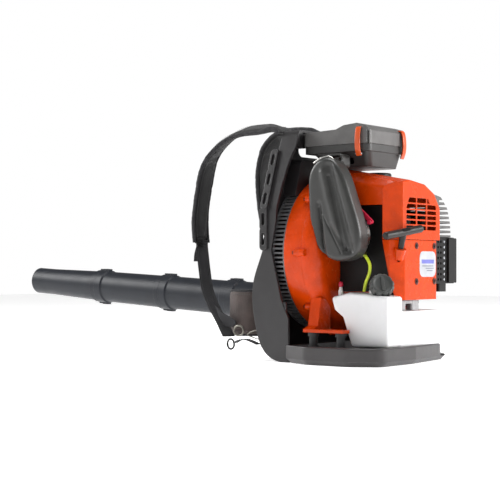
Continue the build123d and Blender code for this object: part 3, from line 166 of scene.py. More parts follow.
def moulded(name, colour, roughness, grain=0.12, grain_scale=1400, edge_highlight_gain=1.5, edge=0.0012, **sockets):
    """Moulded plastic: fine grain, faint mottling, and a painted highlight that lightens edges in patches."""
    s = Surface(name, roughness, **sockets)
    edge_highlight = s.rounded(edge)
    mottled = s.mix(s.ramp(s.noise(38, 4), 0.35, 0.65), shade(colour, 0.9), shade(colour, 1.1))
    # painted highlight: a lighter copy of the colour on the edges, broken into noise patches
    patchy_edge_highlight = s.multiply(edge_highlight, s.ramp(s.noise(150, 5), 0.4, 0.62))
    base = s.mix(patchy_edge_highlight, mottled, shade(colour, edge_highlight_gain))
    s.bump(s.noise(grain_scale, 2), grain, 0.0004)
    return s.done(base, s.between(s.noise(60, 5), roughness - 0.06, roughness + 0.07))


def cast(name, colour, roughness):
    """Die-cast alloy with a sandy skin."""
    s = Surface(name, roughness, 1.0)
    edge_highlight = s.rounded(0.0008)
    base = s.mix(s.ramp(s.noise(90, 6), 0.3, 0.7), shade(colour, 0.75), colour)
    # painted highlight: a lighter copy of the colour along the edges
    base = s.mix(edge_highlight, base, shade(colour, 1.3))
    s.bump(s.noise(900, 4), 0.3, 0.0005)
    return s.done(base, s.between(s.noise(130, 4), roughness - 0.1, roughness + 0.12))


def turned(name, colour, roughness, stretch=(1, 1, 60)):
    """Machined or drawn steel with fine lines one way."""
    s = Surface(name, roughness, 1.0)
    s.rounded(0.0005)
    lines = s.noise(60, 4, stretch)
    s.bump(lines, 0.15, 0.0002)
    return s.done(s.mix(s.ramp(lines, 0.3, 0.7), shade(colour, 0.82), colour),
                  s.between(lines, roughness - 0.08, roughness + 0.1))


def woven(name, colour, thread, sheen=0.35, fuzz=0.5):
    """Woven cloth: threads crossing at thread per metre, with lint and uneven dye."""
    s = Surface(name, 0.9, Sheen_Weight=sheen, Sheen_Roughness=0.5)
    weave = s.mix(s.wave(thread, "Z"), s.wave(thread, "Y"), s.wave(thread, "X"))
    dye = s.mix(s.ramp(s.noise(30, 5), 0.3, 0.7), shade(colour, 0.72), shade(colour, 1.25))
    lint = s.ramp(s.noise(700, 2), 0.62, 0.8)
    base = s.mix(s.multiply(lint, s.ramp(s.noise(45, 2), 0.3, 0.9)), dye, shade(colour, 2.0))
    s.bump(weave, fuzz, 0.0006)
    s.bump(s.noise(220, 4), 0.35, 0.0012)
    return s.done(base)


def rubber(name, colour, roughness=0.62):
    s = Surface(name, roughness)
    s.rounded(0.0008)
    dusty = s.mix(s.ramp(s.noise(55, 6), 0.4, 0.8), colour, shade(colour, 1.7))
    s.bump(s.noise(800, 3), 0.2, 0.0004)
    return s.done(dusty, s.between(s.noise(90, 3), roughness - 0.1, roughness + 0.08))


def tank_plastic(name, colour):
    """Blow-moulded milky plastic that lets some light through."""
    s = Surface(name, 0.38, Subsurface_Weight=0.5, Subsurface_Radius=(0.02, 0.02, 0.018),
                Subsurface_Scale=0.6, Transmission_Weight=0.12, IOR=1.45)
    s.rounded(0.003)
    cloudy = s.mix(s.ramp(s.noise(22, 4), 0.3, 0.7), shade(colour, 0.93), colour)
    s.bump(s.noise(160, 3), 0.12, 0.001)
    return s.done(cloudy, s.between(s.noise(60, 3), 0.3, 0.46))


def pleated(name, colour):
    s = Surface(name, 0.85)
    fibres = s.noise(400, 6)
    s.bump(fibres, 0.4, 0.0006)
    return s.done(s.mix(s.ramp(fibres, 0.3, 0.7), shade(colour, 0.8), colour))


# colour, roughness, then grain strength, grain scale, how much the painted edge highlight lightens edges, and
# edge radius
finishes = {
    "frame_plastic": moulded("frame_plastic", (0.018, 0.0165, 0.0175), 0.34, 0.22, 1100, 2.8, 0.0024),
    "foot_plastic": moulded("foot_plastic", (0.030, 0.027, 0.028), 0.36, 0.22, 1100, 3.0, 0.003),
    "orange_plastic": moulded("orange_plastic", (0.58, 0.046, 0.0005), 0.26, 0.03, 500, 1.15, 0.0025,
                              Coat_Weight=0.06, Coat_Roughness=0.08, Specular_IOR_Level=0.2),
    "black_plastic": moulded("black_plastic", (0.005, 0.0046, 0.0045), 0.42, 0.2, 1300, 2.6,
                             Specular_IOR_Level=0.22),
    "grey_plastic": moulded("grey_plastic", (0.10, 0.097, 0.095), 0.42, 0.16, 1200, 1.6, 0.0025),
    "cage_plastic": moulded("cage_plastic", (0.12, 0.12, 0.125), 0.42, 0.15, 1200, 1.8, 0.0006),
    "tube_plastic": moulded("tube_plastic", (0.010, 0.012, 0.017), 0.42, 0.18, 1300, 1.8, 0.0018,
                            Specular_IOR_Level=0.3),
    "latch_plastic": moulded("latch_plastic", (0.60, 0.075, 0.008), 0.32, 0.05, 600, 1.2, 0.0008),
    "tank_plastic": tank_plastic("tank_plastic", (0.985, 0.985, 0.98)),
    "cap_plastic": moulded("cap_plastic", (0.045, 0.048, 0.046), 0.42, 0.2, 1200, 1.9, 0.001),
    "fan_plastic": moulded("fan_plastic", (0.03, 0.03, 0.03), 0.5, 0.2, 1200, 1.8),
    "cast_alloy": cast("cast_alloy", (0.36, 0.355, 0.36), 0.5),
    "steel": turned("steel", (0.42, 0.42, 0.44), 0.38),
    "bright_steel": turned("bright_steel", (0.5, 0.49, 0.47), 0.26),
    "muffler_steel": cast("muffler_steel", (0.010, 0.0096, 0.0092), 0.7),
    "black_rubber": rubber("black_rubber", (0.022, 0.022, 0.023)),
    "fuel_hose": rubber("fuel_hose", (0.5, 0.62, 0.03), 0.4),
    "red_plastic": moulded("red_plastic", (0.5, 0.012, 0.045), 0.34, 0.05, 700, 1.3, 0.001),
    "rope": woven("rope", (0.05, 0.05, 0.05), 1200),
    "filter_foam": pleated("filter_foam", (0.65, 0.58, 0.42)),
    "pad_fabric": woven("pad_fabric", (0.010, 0.0095, 0.010), 420, 0.12),
    "lumbar_fabric": woven("lumbar_fabric", (0.075, 0.055, 0.05), 420, 0.2),
    "webbing": woven("webbing", (0.014, 0.013, 0.016), 520, 0.15, 0.8),
    "spring_steel": turned("spring_steel", (0.4, 0.4, 0.43), 0.35),
    "duct_plastic": moulded("duct_plastic", (0.030, 0.030, 0.0285), 0.38, 0.18, 1200, 1.8, 0.0015),
    "handle_plastic": moulded("handle_plastic", (0.014, 0.012, 0.011), 0.4, 0.2, 1200, 1.9, 0.0012,
                              Specular_IOR_Level=0.3),
    "base_plastic": moulded("base_plastic", (0.030, 0.029, 0.028), 0.42, 0.16, 1200, 1.8, 0.0018),
    "ring_steel": turned("ring_steel", (0.22, 0.21, 0.18), 0.34),
    "dark_screw": turned("dark_screw", (0.05, 0.03, 0.028), 0.4),
    # painted shade: dark red standing in for the shadow inside the screw pockets
    "painted_pocket_shade": moulded("painted_pocket_shade", (0.12, 0.006, 0.001), 0.5, 0.1, 900, 1.1, 0.0004),
    "thread": woven("thread", (0.07, 0.068, 0.07), 1600, 0.2, 0.4),
    "label_film": moulded("label_film", (0.42, 0.43, 0.46), 0.45, 0.02, 900, 1.0, 0.0002),
    "label_blue": moulded("label_blue", (0.13, 0.14, 0.45), 0.35, 0.02, 900, 1.1, 0.0001),
    "label_grey": moulded("label_grey", (0.15, 0.16, 0.20), 0.35, 0.02, 900, 1.1, 0.0001),
}
node_slots = {row["node"]: row["material_slot"] for row in frame["record"]["subparts"]}
darker_nodes = {
    "housing_screws": "dark_screw",
    "starter_handle": "handle_plastic",
    "filter_base": "base_plastic",
}
for node, piece in frame["nodes"].items():
    piece.data.materials.clear()
    piece.data.materials.append(finishes[darker_nodes.get(node, node_slots[node])])


# ---- mesh helpers ----
def add_object(name, verts, faces, body, slot, smooth=True, ride=True):
    mesh = bpy.data.meshes.new(name)
    mesh.from_pydata([tuple(v) for v in verts], [], faces)
    mesh.update()
    made = bpy.data.objects.new(name, mesh)
    collection.objects.link(made)
    if smooth:
        mesh.polygons.foreach_set("use_smooth", [True] * len(mesh.polygons))
    mesh.materials.append(finishes[slot])
    if ride:
        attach(made, body)
    return made


def smooth_line(points, count):
    """Evenly spaced points on a smooth curve through the given ones."""
    points = [Vector(p) for p in points]
    ends = [points[0] * 2 - points[1]] + points + [points[-1] * 2 - points[-2]]
    fine = []
    steps = 24
    for i in range(1, len(ends) - 2):
        a, b, c, d = ends[i - 1:i + 3]
        for j in range(steps):
            t = j / steps
            fine.append(0.5 * (2 * b + (c - a) * t + (2 * a - 5 * b + 4 * c - d) * t * t
                               + (3 * b - a - 3 * c + d) * t * t * t))
    fine.append(points[-1])
    reach = [0.0]
    for p, q in zip(fine, fine[1:]):
        reach.append(reach[-1] + (q - p).length)
    line = []
    at = 0
    for k in range(count):
        want = reach[-1] * k / (count - 1)
        while at < len(reach) - 2 and reach[at + 1] < want:
            at += 1
        share = (want - reach[at]) / max(reach[at + 1] - reach[at], 1e-9)
        line.append(fine[at].lerp(fine[at + 1], min(max(share, 0.0), 1.0)))
    return line


def frames_along(line, across):
    """Tangent, across and normal at each point of a line. across is a vector, or gives one for each share."""
    found = []
    for i in range(len(line)):
        lean = across(i / (len(line) - 1)) if callable(across) else across
        tangent = (line[min(i + 1, len(line) - 1)] - line[max(i - 1, 0)]).normalized()
        side = (lean - tangent * lean.dot(tangent)).normalized()
        found.append((tangent, side, tangent.cross(side)))
    return found


def swept(name, line, across, section, body, slot, **settings):
    """Closed strap, pad or cord. section(share) gives its outline as (across, normal) along the line."""
    verts = []
    for i, (point, (_, side, normal)) in enumerate(zip(line, frames_along(line, across))):
        outline = section(i / (len(line) - 1))
        verts += [point + side * a + normal * b for a, b in outline]
    size = len(verts) // len(line)
    faces = []
    for i in range(len(line) - 1):
        for j in range(size):
            k = (j + 1) % size
            faces.append((i * size + j, i * size + k, (i + 1) * size + k, (i + 1) * size + j))
    faces.append(tuple(range(size - 1, -1, -1)))
    last = (len(line) - 1) * size
    faces.append(tuple(range(last, last + size)))
    made = add_object(name, verts, faces, body, slot, **settings)
    fix_normals(made)
    return made


def fix_normals(piece):
    work = bmesh.new()
    work.from_mesh(piece.data)
    bmesh.ops.recalc_face_normals(work, faces=work.faces)
    work.to_mesh(piece.data)
    work.free()


def pillow(width, thickness, count=28, power=3.4):
    """Rounded flat outline, fuller than an ellipse."""
    outline = []
    for j in range(count):
        turn = 2 * math.pi * j / count
        c, s = math.cos(turn), math.sin(turn)
        outline.append((width / 2 * math.copysign(abs(c) ** (2 / power), c),
                        thickness / 2 * math.copysign(abs(s) ** (2 / power), s)))
    return outline


def round_section(radius, count=12):
    return [(radius * math.cos(2 * math.pi * j / count), radius * math.sin(2 * math.pi * j / count))
            for j in range(count)]


def ease(share, start, end):
    t = min(max((share - start) / (end - start), 0.0), 1.0)
    return t * t * (3 - 2 * t)


def end_taper(share, length):
    """Rounds off the two ends of a pad."""
    edge = min(share, 1 - share) / length
    return math.sqrt(max(0.02, 1 - (1 - min(edge, 1.0)) ** 2))


def stitches(name, line, across, offset, lift):
    """Row of thread stitches that lie on a strap, offset sideways and lifted onto its face."""
    pitch, length, radius = 0.0052, 0.0034, 0.0005
    total = sum((q - p).length for p, q in zip(line, line[1:]))
    row = smooth_line(line[::3] + [line[-1]], max(4, int(total / pitch)))
    verts, faces = [], []
    for point, (tangent, side, normal) in zip(row[1:-1], frames_along(row, across)[1:-1]):
        middle = point + side * offset + normal * lift
        start = len(verts)
        for reach, size in ((-0.5, 0.3), (-0.35, 1.0), (0.35, 1.0), (0.5, 0.3)):
            for j in range(6):
                turn = 2 * math.pi * j / 6
                verts.append(middle + tangent * (reach * length)
                             + side * (radius * size * math.cos(turn))
                             + normal * (radius * size * math.sin(turn)))
        for i in range(3):
            for j in range(6):
                k = (j + 1) % 6
                a = start + i * 6
                faces.append((a + j, a + k, a + 6 + k, a + 6 + j))
        faces.append(tuple(start + j for j in range(5, -1, -1)))
        faces.append(tuple(start + 18 + j for j in range(6)))
    return add_object(name, verts, faces, "blower", "thread")


def puff(piece, voxel=0.006, pressure=4.0, cap=0.006, frames=16):
    """Swells a pad as cloth does under its stuffing, with no point moving further than the cap."""
    scene = bpy.context.scene
    remesh = piece.modifiers.new("remesh", "REMESH")
    remesh.mode = "VOXEL"
    remesh.voxel_size = voxel
    graph = bpy.context.evaluated_depsgraph_get()
    before = bpy.data.meshes.new_from_object(piece.evaluated_get(graph))
    piece.modifiers.clear()
    material = piece.data.materials[0]
    piece.data = before
    start = [v.co.copy() for v in before.vertices]
    cloth = piece.modifiers.new("cloth", "CLOTH")
    cloth.settings.use_pressure = True
    cloth.settings.uniform_pressure_force = pressure
    cloth.settings.effector_weights.gravity = 0.0
    cloth.settings.quality = 4
    cloth.point_cache.frame_start = 1
    cloth.point_cache.frame_end = frames
    for number in range(1, frames + 1):
        scene.frame_set(number)
    graph = bpy.context.evaluated_depsgraph_get()
    swollen = bpy.data.meshes.new_from_object(piece.evaluated_get(graph))
    piece.modifiers.clear()
    scene.frame_set(1)
    for vertex, home in zip(swollen.vertices, start):
        moved = vertex.co - home
        if moved.length > cap:
            vertex.co = home + moved * (cap / moved.length)
    piece.data = swollen
    piece.data.materials.clear()
    piece.data.materials.append(material)
    piece.data.polygons.foreach_set("use_smooth", [True] * len(piece.data.polygons))
    smoother = piece.modifiers.new("subdivision", "SUBSURF")
    smoother.levels = 1
    smoother.render_levels = 1


def lathe(name, profile, origin, axis, slot, segments=72, closed=True):
    """Turned piece: profile holds (distance along the axis, radius). The caller says what it rides."""
    axis = Vector(axis).normalized()
    side = axis.orthogonal().normalized()
    other = axis.cross(side)
    verts = []
    for along, radius in profile:
        for j in range(segments):
            turn = 2 * math.pi * j / segments
            verts.append(Vector(origin) + axis * along + side * (radius * math.cos(turn))
                         + other * (radius * math.sin(turn)))
    rows = len(profile)
    faces = []
    for i in range(rows if closed else rows - 1):
        for j in range(segments):
            k = (j + 1) % segments
            n = (i + 1) % rows
            faces.append((i * segments + j, i * segments + k, n * segments + k, n * segments + j))
    made = add_object(name, verts, faces, None, slot, ride=False)
    fix_normals(made)
    return made


def bent_wire(name, points, radius, body, slot, closed=False):
    """Wire or cord bent along points, as a mesh."""
    curve = bpy.data.curves.new(name, "CURVE")
    curve.dimensions = "3D"
    curve.bevel_depth = radius
    curve.bevel_resolution = 3
    curve.use_fill_caps = True
    spline = curve.splines.new("NURBS")
    spline.points.add(len(points) - 1)
    for place, point in zip(spline.points, points):
        place.co = (*point, 1.0)
    spline.order_u = 3
    spline.use_endpoint_u = not closed
    spline.use_cyclic_u = closed
    spline.resolution_u = 8
    holder = bpy.data.objects.new(name + "_curve", curve)
    collection.objects.link(holder)
    bpy.context.view_layer.update()
    mesh = bpy.data.meshes.new_from_object(holder.evaluated_get(bpy.context.evaluated_depsgraph_get()))
    bpy.data.objects.remove(holder)
    mesh.name = name
    made = bpy.data.objects.new(name, mesh)
    collection.objects.link(made)
    mesh.materials.clear()
    mesh.materials.append(finishes[slot])
    mesh.polygons.foreach_set("use_smooth", [True] * len(mesh.polygons))
    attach(made, body)
    return made


def plate(name, outline, plane_point, x_way, y_way, thickness, body, slot, round_by=0.0008):
    """Flat piece with rounded edges: outline holds (x, y) in its own plane."""
    x_way, y_way = Vector(x_way).normalized(), Vector(y_way).normalized()
    normal = x_way.cross(y_way)
    verts = []
    for lift in (0.0, thickness):
        verts += [Vector(plane_point) + x_way * x + y_way * y + normal * lift for x, y in outline]
    n = len(outline)
    faces = [tuple(range(n - 1, -1, -1)), tuple(range(n, 2 * n))]
    faces += [(j, (j + 1) % n, n + (j + 1) % n, n + j) for j in range(n)]
    made = add_object(name, verts, faces, body, slot, smooth=False)
    fix_normals(made)
    soften(made, round_by, 2)
    return made


def soften(piece, width, segments=2):
    bevel = piece.modifiers.new("bevel", "BEVEL")
    bevel.width = width
    bevel.segments = segments
    bevel.limit_method = "ANGLE"
    bevel.harden_normals = True
    bpy.context.view_layer.update()
    mesh = bpy.data.meshes.new_from_object(piece.evaluated_get(bpy.context.evaluated_depsgraph_get()))
    piece.modifiers.clear()
    piece.data = mesh


def rounded_box(width, height, radius, steps=5):
    """Outline of a rectangle with round corners."""
    outline = []
    for cx, cy, start in ((1, 1, 0), (-1, 1, 90), (-1, -1, 180), (1, -1, 270)):
        for i in range(steps + 1):
            turn = math.radians(start + 90 * i / steps)
            outline.append((cx * (width / 2 - radius) + radius * math.cos(turn),
                            cy * (height / 2 - radius) + radius * math.sin(turn)))
    return outline


# ---- shoulder straps ----
X_WAY = Vector((1, 0, 0))
UP = Vector((0, 0, 1))
pad_lines = {
    "left": [(0.146, 0.497), (0.164, 0.511), (0.220, 0.514), (0.277, 0.510), (0.326, 0.488), (0.367, 0.446),
             (0.388, 0.372), (0.396, 0.310), (0.392, 0.258)],
    "right": [(0.146, 0.497), (0.166, 0.510), (0.220, 0.520), (0.275, 0.521), (0.318, 0.509), (0.350, 0.474),
              (0.364, 0.420), (0.358, 0.350), (0.344, 0.290)],
}


def notched(share):
    """Width of the strap's foam as a share of the full width. Its steps show as notches in the edge."""
    narrower = 0.07 * ease(share, 0.53, 0.545) + 0.05 * ease(share, 0.68, 0.69)
    return 1 - narrower + 0.04 * ease(share, 0.8, 0.86)


def shoulder_strap(side):
    low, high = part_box("shoulder_pad_" + side)
    middle = (low.x + high.x) / 2
    width = high.x - low.x
    line = smooth_line([(middle, y, z) for y, z in pad_lines[side]], 110)
    thick = 0.011
    seam_in = 0.0085
    seam_lift = 0.0066
    binding_radius = 0.0032
    inward = 1 if side == "left" else -1

    def lean(share):
        """The strap banks over the shoulder, with its outer edge lower."""
        bank = math.radians(22) * ease(share, 0.05, 0.16) * (1 - ease(share, 0.5, 0.75))
        return X_WAY * math.cos(bank) + UP * (inward * math.sin(bank))

    def section(share):
        channel = 1 - 0.2 * sum(math.exp(-((share - at) / 0.006) ** 2) for at in (0.1, 0.53, 0.94))
        ends = end_taper(share, 0.03)
        return pillow(width * notched(share) * (0.86 + 0.14 * ends), thick * channel * (0.35 + 0.65 * ends))

    pad = swept(f"strap_pad_{side}", line, lean, section, "blower", "pad_fabric")
    puff(pad, 0.005, 3.0, 0.0022, 12)
    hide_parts("shoulder_pad_" + side)
    wobble = random.Random(3 if side == "left" else 4)
    ways = frames_along(line, lean)
    for edge in (-1, 1):
        bound = []
        for i, point in enumerate(line[1:-1]):
            share = (i + 1) / (len(line) - 1)
            reach = edge * (width / 2 * notched(share) - 0.0008 + wobble.uniform(-0.0005, 0.0005))
            bound.append(point + ways[i + 1][1] * reach)
        swept(f"strap_binding_{side}_{'in' if edge == inward else 'out'}", bound, lean,
              lambda share: [(a * 0.7, b * 1.5) for a, b in round_section(binding_radius)],
              "blower", "webbing")
        for lift in (-seam_lift, seam_lift):
            stitches(f"strap_stitch_{side}_{edge + 1}_{int(lift > 0)}", line[2:-2], lean,
                     edge * (width / 2 - seam_in), lift)


# ---- back pad and lumbar pad ----
def quilted(width, thickness, grooves, depth=0.3):
    """Pad section that thins at each groove along the pad's length."""
    def section(share):
        pinch = 1 - depth * sum(math.exp(-((share - at) / 0.018) ** 2) for at in grooves)
        ends = end_taper(share, 0.06)
        return pillow(width * (0.93 + 0.07 * ends), thickness * pinch * (0.4 + 0.6 * ends), 36)
    return section


def back_pad():
    line = smooth_line([(0, 0.157, 0.4415), (0, 0.1545, 0.400), (0, 0.154, 0.330), (0, 0.160, 0.2725)], 60)
    section = quilted(0.172, 0.0135, (0.27, 0.5, 0.73))
    pad = swept("back_cushion", line, X_WAY, section, "blower", "pad_fabric")
    puff(pad, 0.0055, 4.0, 0.003, 14)
    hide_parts("back_pad")
    rim = [(-0.084, 0.1575, 0.438), (0.084, 0.1575, 0.438), (0.086, 0.1535, 0.36), (0.084, 0.159, 0.277),
           (-0.084, 0.159, 0.277), (-0.086, 0.1535, 0.36)]
    bent_wire("back_cushion_piping", rim, 0.0022, "blower", "webbing", closed=True)


def lumbar_pad():
    path = [(-126, 284), (-138, 244), (-124, 208), (-62, 193), (0, 190.5), (62, 193), (124, 208), (137, 230),
            (137, 240)]
    line = smooth_line([(x / 1000, y / 1000, 0.1025) for x, y in path], 90)
    height = 0.101
    edge_lift = 0.0495
    seam_lift = 0.041
    section = quilted(height, 0.0135, (0.13, 0.36, 0.5, 0.64, 0.87))
    pad = swept("lumbar_cushion", line, UP, section, "blower", "lumbar_fabric")
    puff(pad, 0.0055, 4.0, 0.003, 14)
    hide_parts("lumbar_pad")
    for name, lift in (("top", edge_lift), ("bottom", -edge_lift)):
        edge = [p + UP * lift for p in line[1:-1]]
        swept(f"lumbar_binding_{name}", edge, UP,
              lambda share: [(a, b * 1.4) for a, b in round_section(0.0028)], "blower", "webbing")
    for lift in (-seam_lift, seam_lift):
        stitches(f"lumbar_stitch_{'low' if lift < 0 else 'high'}", line[2:-2], UP, lift, 0.0069)


# ---- webbing, buckles and rings ----
web_run = [(0, 0), (0.04, 0.12), (0.10, 0.28), (0.20, 0.48), (0.42, 0.66), (0.70, 0.82), (0.95, 0.98)]


def flat_strap(width, thickness):
    """Section of woven strap with rounded edges and a slightly raised middle."""
    return [(a, b * (1 + 0.15 * math.cos(math.pi * a / width))) for a, b in pillow(width, thickness, 20, 6.0)]


def lower_web(side, name):
    side_x = side * 0.1
    end_y, end_z = pad_lines[name][-1]
    start = Vector((side_x, end_y - 0.002, end_z - 0.004))
    run = Vector((side * 0.167 - start.x, 0.252 - start.y, 0))
    drop = start.z - 0.046
    across = Vector((run.y, -run.x, 0)).normalized()
    inside_pad = start + Vector((0, 0.0005, 0.014))
    hanging = [start + run * along - UP * (drop * down) for along, down in web_run]
    line = smooth_line([inside_pad] + hanging, 74)
    main = swept(f"lower_web_{name}", line, across, lambda share: flat_strap(0.030, 0.0015),
                 "blower", "webbing")
    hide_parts("webbing")
    # the strap's free half comes back up through the buckle and hangs outside
    doubled = [p + frames_along(line, across)[i][2] * 0.0019 for i, p in enumerate(line)][4:52]
    swept(f"lower_web_back_{name}", doubled, across, lambda share: flat_strap(0.0295, 0.0014),
          "blower", "webbing")
    loose = smooth_line([start + Vector((0, 0.006, -0.002)), start + Vector((0, 0.0115, -0.018)),
                         start + Vector((0, 0.0135, -0.036))], 16)
    swept(f"loose_tail_{name}", loose, X_WAY, lambda share: flat_strap(0.028, 0.0015), "blower", "webbing")
    for edge in (-1, 1):
        stitches(f"lower_web_stitch_{name}_{edge + 1}", line[3:-3], across, edge * 0.0115, -0.0012)
    return start, line


def buckle(name, centre, across, along, width, height):
    """Ladder-lock buckle: a moulded frame with two bars."""
    across, along = across.normalized(), along.normalized()
    octagon = ((-1, -0.6), (-1, 0.6), (-0.75, 1), (0.75, 1), (1, 0.6), (1, -0.6), (0.75, -1), (-0.75, -1))
    corners = [centre + across * (x * width / 2) + along * (y * height / 2) for x, y in octagon]
    bent_wire(name + "_frame", corners, 0.0026, "blower", "black_plastic", closed=True)
    for i, y in enumerate((-0.3, 0.35)):
        middle = centre + along * (y * height / 2)
        ends = [middle + across * (x * (width / 2 - 0.001)) for x in (-1, -0.3, 0.3, 1)]
        bent_wire(f"{name}_bar_{i}", ends, 0.0021, "blower", "black_plastic")


def hip_web(side, name):
    path = [(237, 37), (224, 43), (206, 45), (188, 41), (173, 36)]
    line = smooth_line([(side * 0.167, y / 1000, z / 1000) for y, z in path], 40)
    swept(f"hip_web_{name}", line, X_WAY, lambda share: flat_strap(0.018, 0.0019), "blower", "webbing")
    for edge in (-1, 1):
        stitches(f"hip_web_stitch_{name}_{edge + 1}", line[3:-3], X_WAY, edge * 0.0062, 0.0011)
    # sewn gusset of strap that joins the shoulder web to the ring
    gusset = [(0.3055, 0.119), (0.2851, 0.1036), (0.2480, 0.0869), (0.2440, 0.0800), (0.2540, 0.0700),
              (0.2764, 0.0721), (0.2950, 0.0950)]
    plate(f"ring_gusset_{name}", gusset, (side * 0.1555, 0, 0), (0, 1, 0), UP, 0.0018, "blower", "webbing")
    hook = [(0.2014, 0.055), (0.1791, 0.0666), (0.1660, 0.065), (0.1560, 0.0442), (0.1902, 0.0531)]
    hook = [(side * 0.1745, y, z) for y, z in hook]
    bent_wire(f"hip_hook_{name}", hook, 0.0012, "blower", "ring_steel", closed=True)


def harness():
    for side, name in ((-1, "left"), (1, "right")):
        shoulder_strap(name)
        start, line = lower_web(side, name)
        centre = start + Vector((0, 0.0005, 0.010))
        buckle(f"ladder_lock_{name}", centre, X_WAY, line[3] - line[0], 0.036, 0.022)
        hip_web(side, name)


# ---- bellows between the elbow and the control tube ----
TILT = math.radians(3.27)
TUBE_WAY = Vector((0, math.cos(TILT), math.sin(TILT)))
TUBE_START = Vector((0.236, 0.058, 0.095))


def bellows():
    low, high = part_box("flex_hose")
    near = (low.y - TUBE_START.y) / TUBE_WAY.y + 0.003
    far = (high.y - TUBE_START.y) / TUBE_WAY.y - 0.003
    folds = 11
    cuff, cuff_gap, cuff_radius = 0.0055, 0.007, 0.0492
    fold_radius, fold_height = 0.0502, 0.0024
    skin = 0.0022
    pitch = (far - near - 2 * cuff_gap) / folds
    outer = [(near, cuff_radius), (near + cuff, cuff_radius)]
    for i in range(folds):
        base = near + cuff_gap + i * pitch
        for j in range(8):
            swing = math.cos(2 * math.pi * j / 8)
            bulge = math.copysign(abs(swing) ** 0.7, -swing)
            outer.append((base + pitch * j / 8, fold_radius + fold_height * bulge))
    outer += [(far - cuff, cuff_radius), (far, cuff_radius)]
    inner = [(along, radius - skin) for along, radius in reversed(outer)]
    hose = lathe("bellows", outer + inner, TUBE_START, TUBE_WAY, "black_rubber", 96)
    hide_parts("flex_hose")
    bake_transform(hose)


# ---- starter rope ----
def starter_rope():
    low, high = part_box("starter_rope")
    top = Vector((low.x, low.y, high.z)) + Vector((0.0017, 0.0017, -0.0006))
    bottom = Vector((high.x, high.y, low.z)) + Vector((-0.0017, -0.0017, 0.0006))
    way = (top - bottom).normalized()
    side = way.orthogonal().normalized()
    other = way.cross(side)
    # three strands laid round one another, joined as one piece
    verts, faces = [], []
    turns = 3.4
    rows = 60
    lay_radius, strand_radius = 0.0009, 0.00088
    for strand in range(3):
        start = len(verts)
        for i in range(rows + 1):
            share = i / rows
            swing = 2 * math.pi * (turns * share + strand / 3)
            centre = bottom.lerp(top, share) + (side * math.cos(swing) + other * math.sin(swing)) * lay_radius
            for j in range(8):
                turn = 2 * math.pi * j / 8
                verts.append(centre + (side * math.cos(turn) + other * math.sin(turn)) * strand_radius)
        for i in range(rows):
            for j in range(8):
                k = (j + 1) % 8
                a = start + i * 8
                faces.append((a + j, a + k, a + 8 + k, a + 8 + j))
        faces.append(tuple(start + j for j in range(7, -1, -1)))
        faces.append(tuple(start + rows * 8 + j for j in range(8)))
    rope = add_object("rope_strands", verts, faces, None, "rope", ride=False)
    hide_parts("starter_rope")
    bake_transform(rope)


# ---- label, painted shade round screws, grip recess, painted light behind the guard's holes, breather and choke rod ----
def small_parts():
    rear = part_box("housing_screws")[0].y + 0.0006
    label = rounded_box(0.070, 0.055, 0.013)
    label = [(x * (1 - 0.06 * abs(y) / 0.028), y) for x, y in label]
    plate("rating_label", label, (0.0255, rear + 0.0003, 0.211), X_WAY, UP, 0.0009,
          "blower", "label_film", 0.0003)
    for i, (y, width) in enumerate(((0.0055, 0.052), (-0.004, 0.046), (-0.009, 0.034), (-0.0140, 0.024))):
        thick = 0.0085 if i == 0 else 0.0022
        bar = rounded_box(width, thick, 0.0006)
        plate(f"label_bar_{i}", bar, (0.0255 + 0.008 * (i > 1), rear - 0.0005, 0.211 + y), X_WAY, UP, 0.0003,
              "blower", "label_blue" if i == 0 else "label_grey", 0.00005)

    # dark rings that stand just proud round the starter panel's corner screws: painted shade for the shadow
    # in their deep pockets
    pocket = [(0.0, 0.0045), (0.0, 0.0068), (0.0009, 0.0074), (0.0009, 0.0068), (0.0003, 0.0062),
              (0.0003, 0.0045)]
    for column, x in enumerate((-0.021, 0.054)):
        for row, z in enumerate((0.174, 0.250)):
            ring = lathe(f"screw_pocket_shade_{column}_{row}", pocket, (x, rear, z), (0, -1, 0), "painted_pocket_shade", 32)
            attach(ring, "blower")

    # pale plate behind the guard's holes: painted light standing in for the bright background seen through
    # them
    plate("guard_hole_light", rounded_box(0.011, 0.100, 0.002), (0.134, -0.1176, 0.219), X_WAY, UP, 0.0017,
          "blower", "label_film", 0.0001)

    # recess in the back of the starter grip
    grip_way = Vector((0.114, -0.020, 0.018)).normalized()
    grip_up = grip_way.cross(Vector((0.45, 0.7, -0.5))).normalized()
    spot = Vector((-0.088, -0.1505, 0.2775)) + grip_way.cross(grip_up) * 0.0078
    plate("grip_recess", rounded_box(0.024, 0.0076, 0.0036), spot, grip_way, grip_up, 0.0010,
          "starter_grip", "black_plastic", 0.0003)

    # square stop that is moulded on the frame's flank
    plate("frame_stop", rounded_box(0.040, 0.034, 0.004), (-0.1705, 0.111, 0.112), (0, -1, 0), UP, 0.006,
          "blower", "frame_plastic", 0.0015)

    # breather beside the tank neck: a white stem with a red collar
    stem = [(0.0, 0.0045), (0.002, 0.0052), (0.010, 0.0050), (0.012, 0.0040), (0.018, 0.0036)]
    collar = [(0.018, 0.0036), (0.020, 0.0048), (0.027, 0.0046), (0.029, 0.0030), (0.030, 0.0001)]
    for name, rows, slot in (
        ("breather_stem", stem, "tank_plastic"),
        ("breather_collar", collar, "red_plastic"),
    ):
        profile = [(rows[0][0], 0.0001)] + rows + [(rows[-1][0], 0.0001)]
        piece = lathe(name, profile, (-0.12, -0.013, 0.1445), UP, slot, 24, closed=False)
        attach(piece, "blower")

    # bright throttle rod at the top of the intake duct
    rod = [(-0.1495, 0.036, 0.4265), (-0.1500, 0.020, 0.4365), (-0.1490, -0.004, 0.4405),
           (-0.1485, -0.020, 0.4250), (-0.1480, -0.034, 0.3980), (-0.1470, -0.044, 0.3740)]
    bent_wire("choke_rod", rod, 0.0024, "blower", "bright_steel")


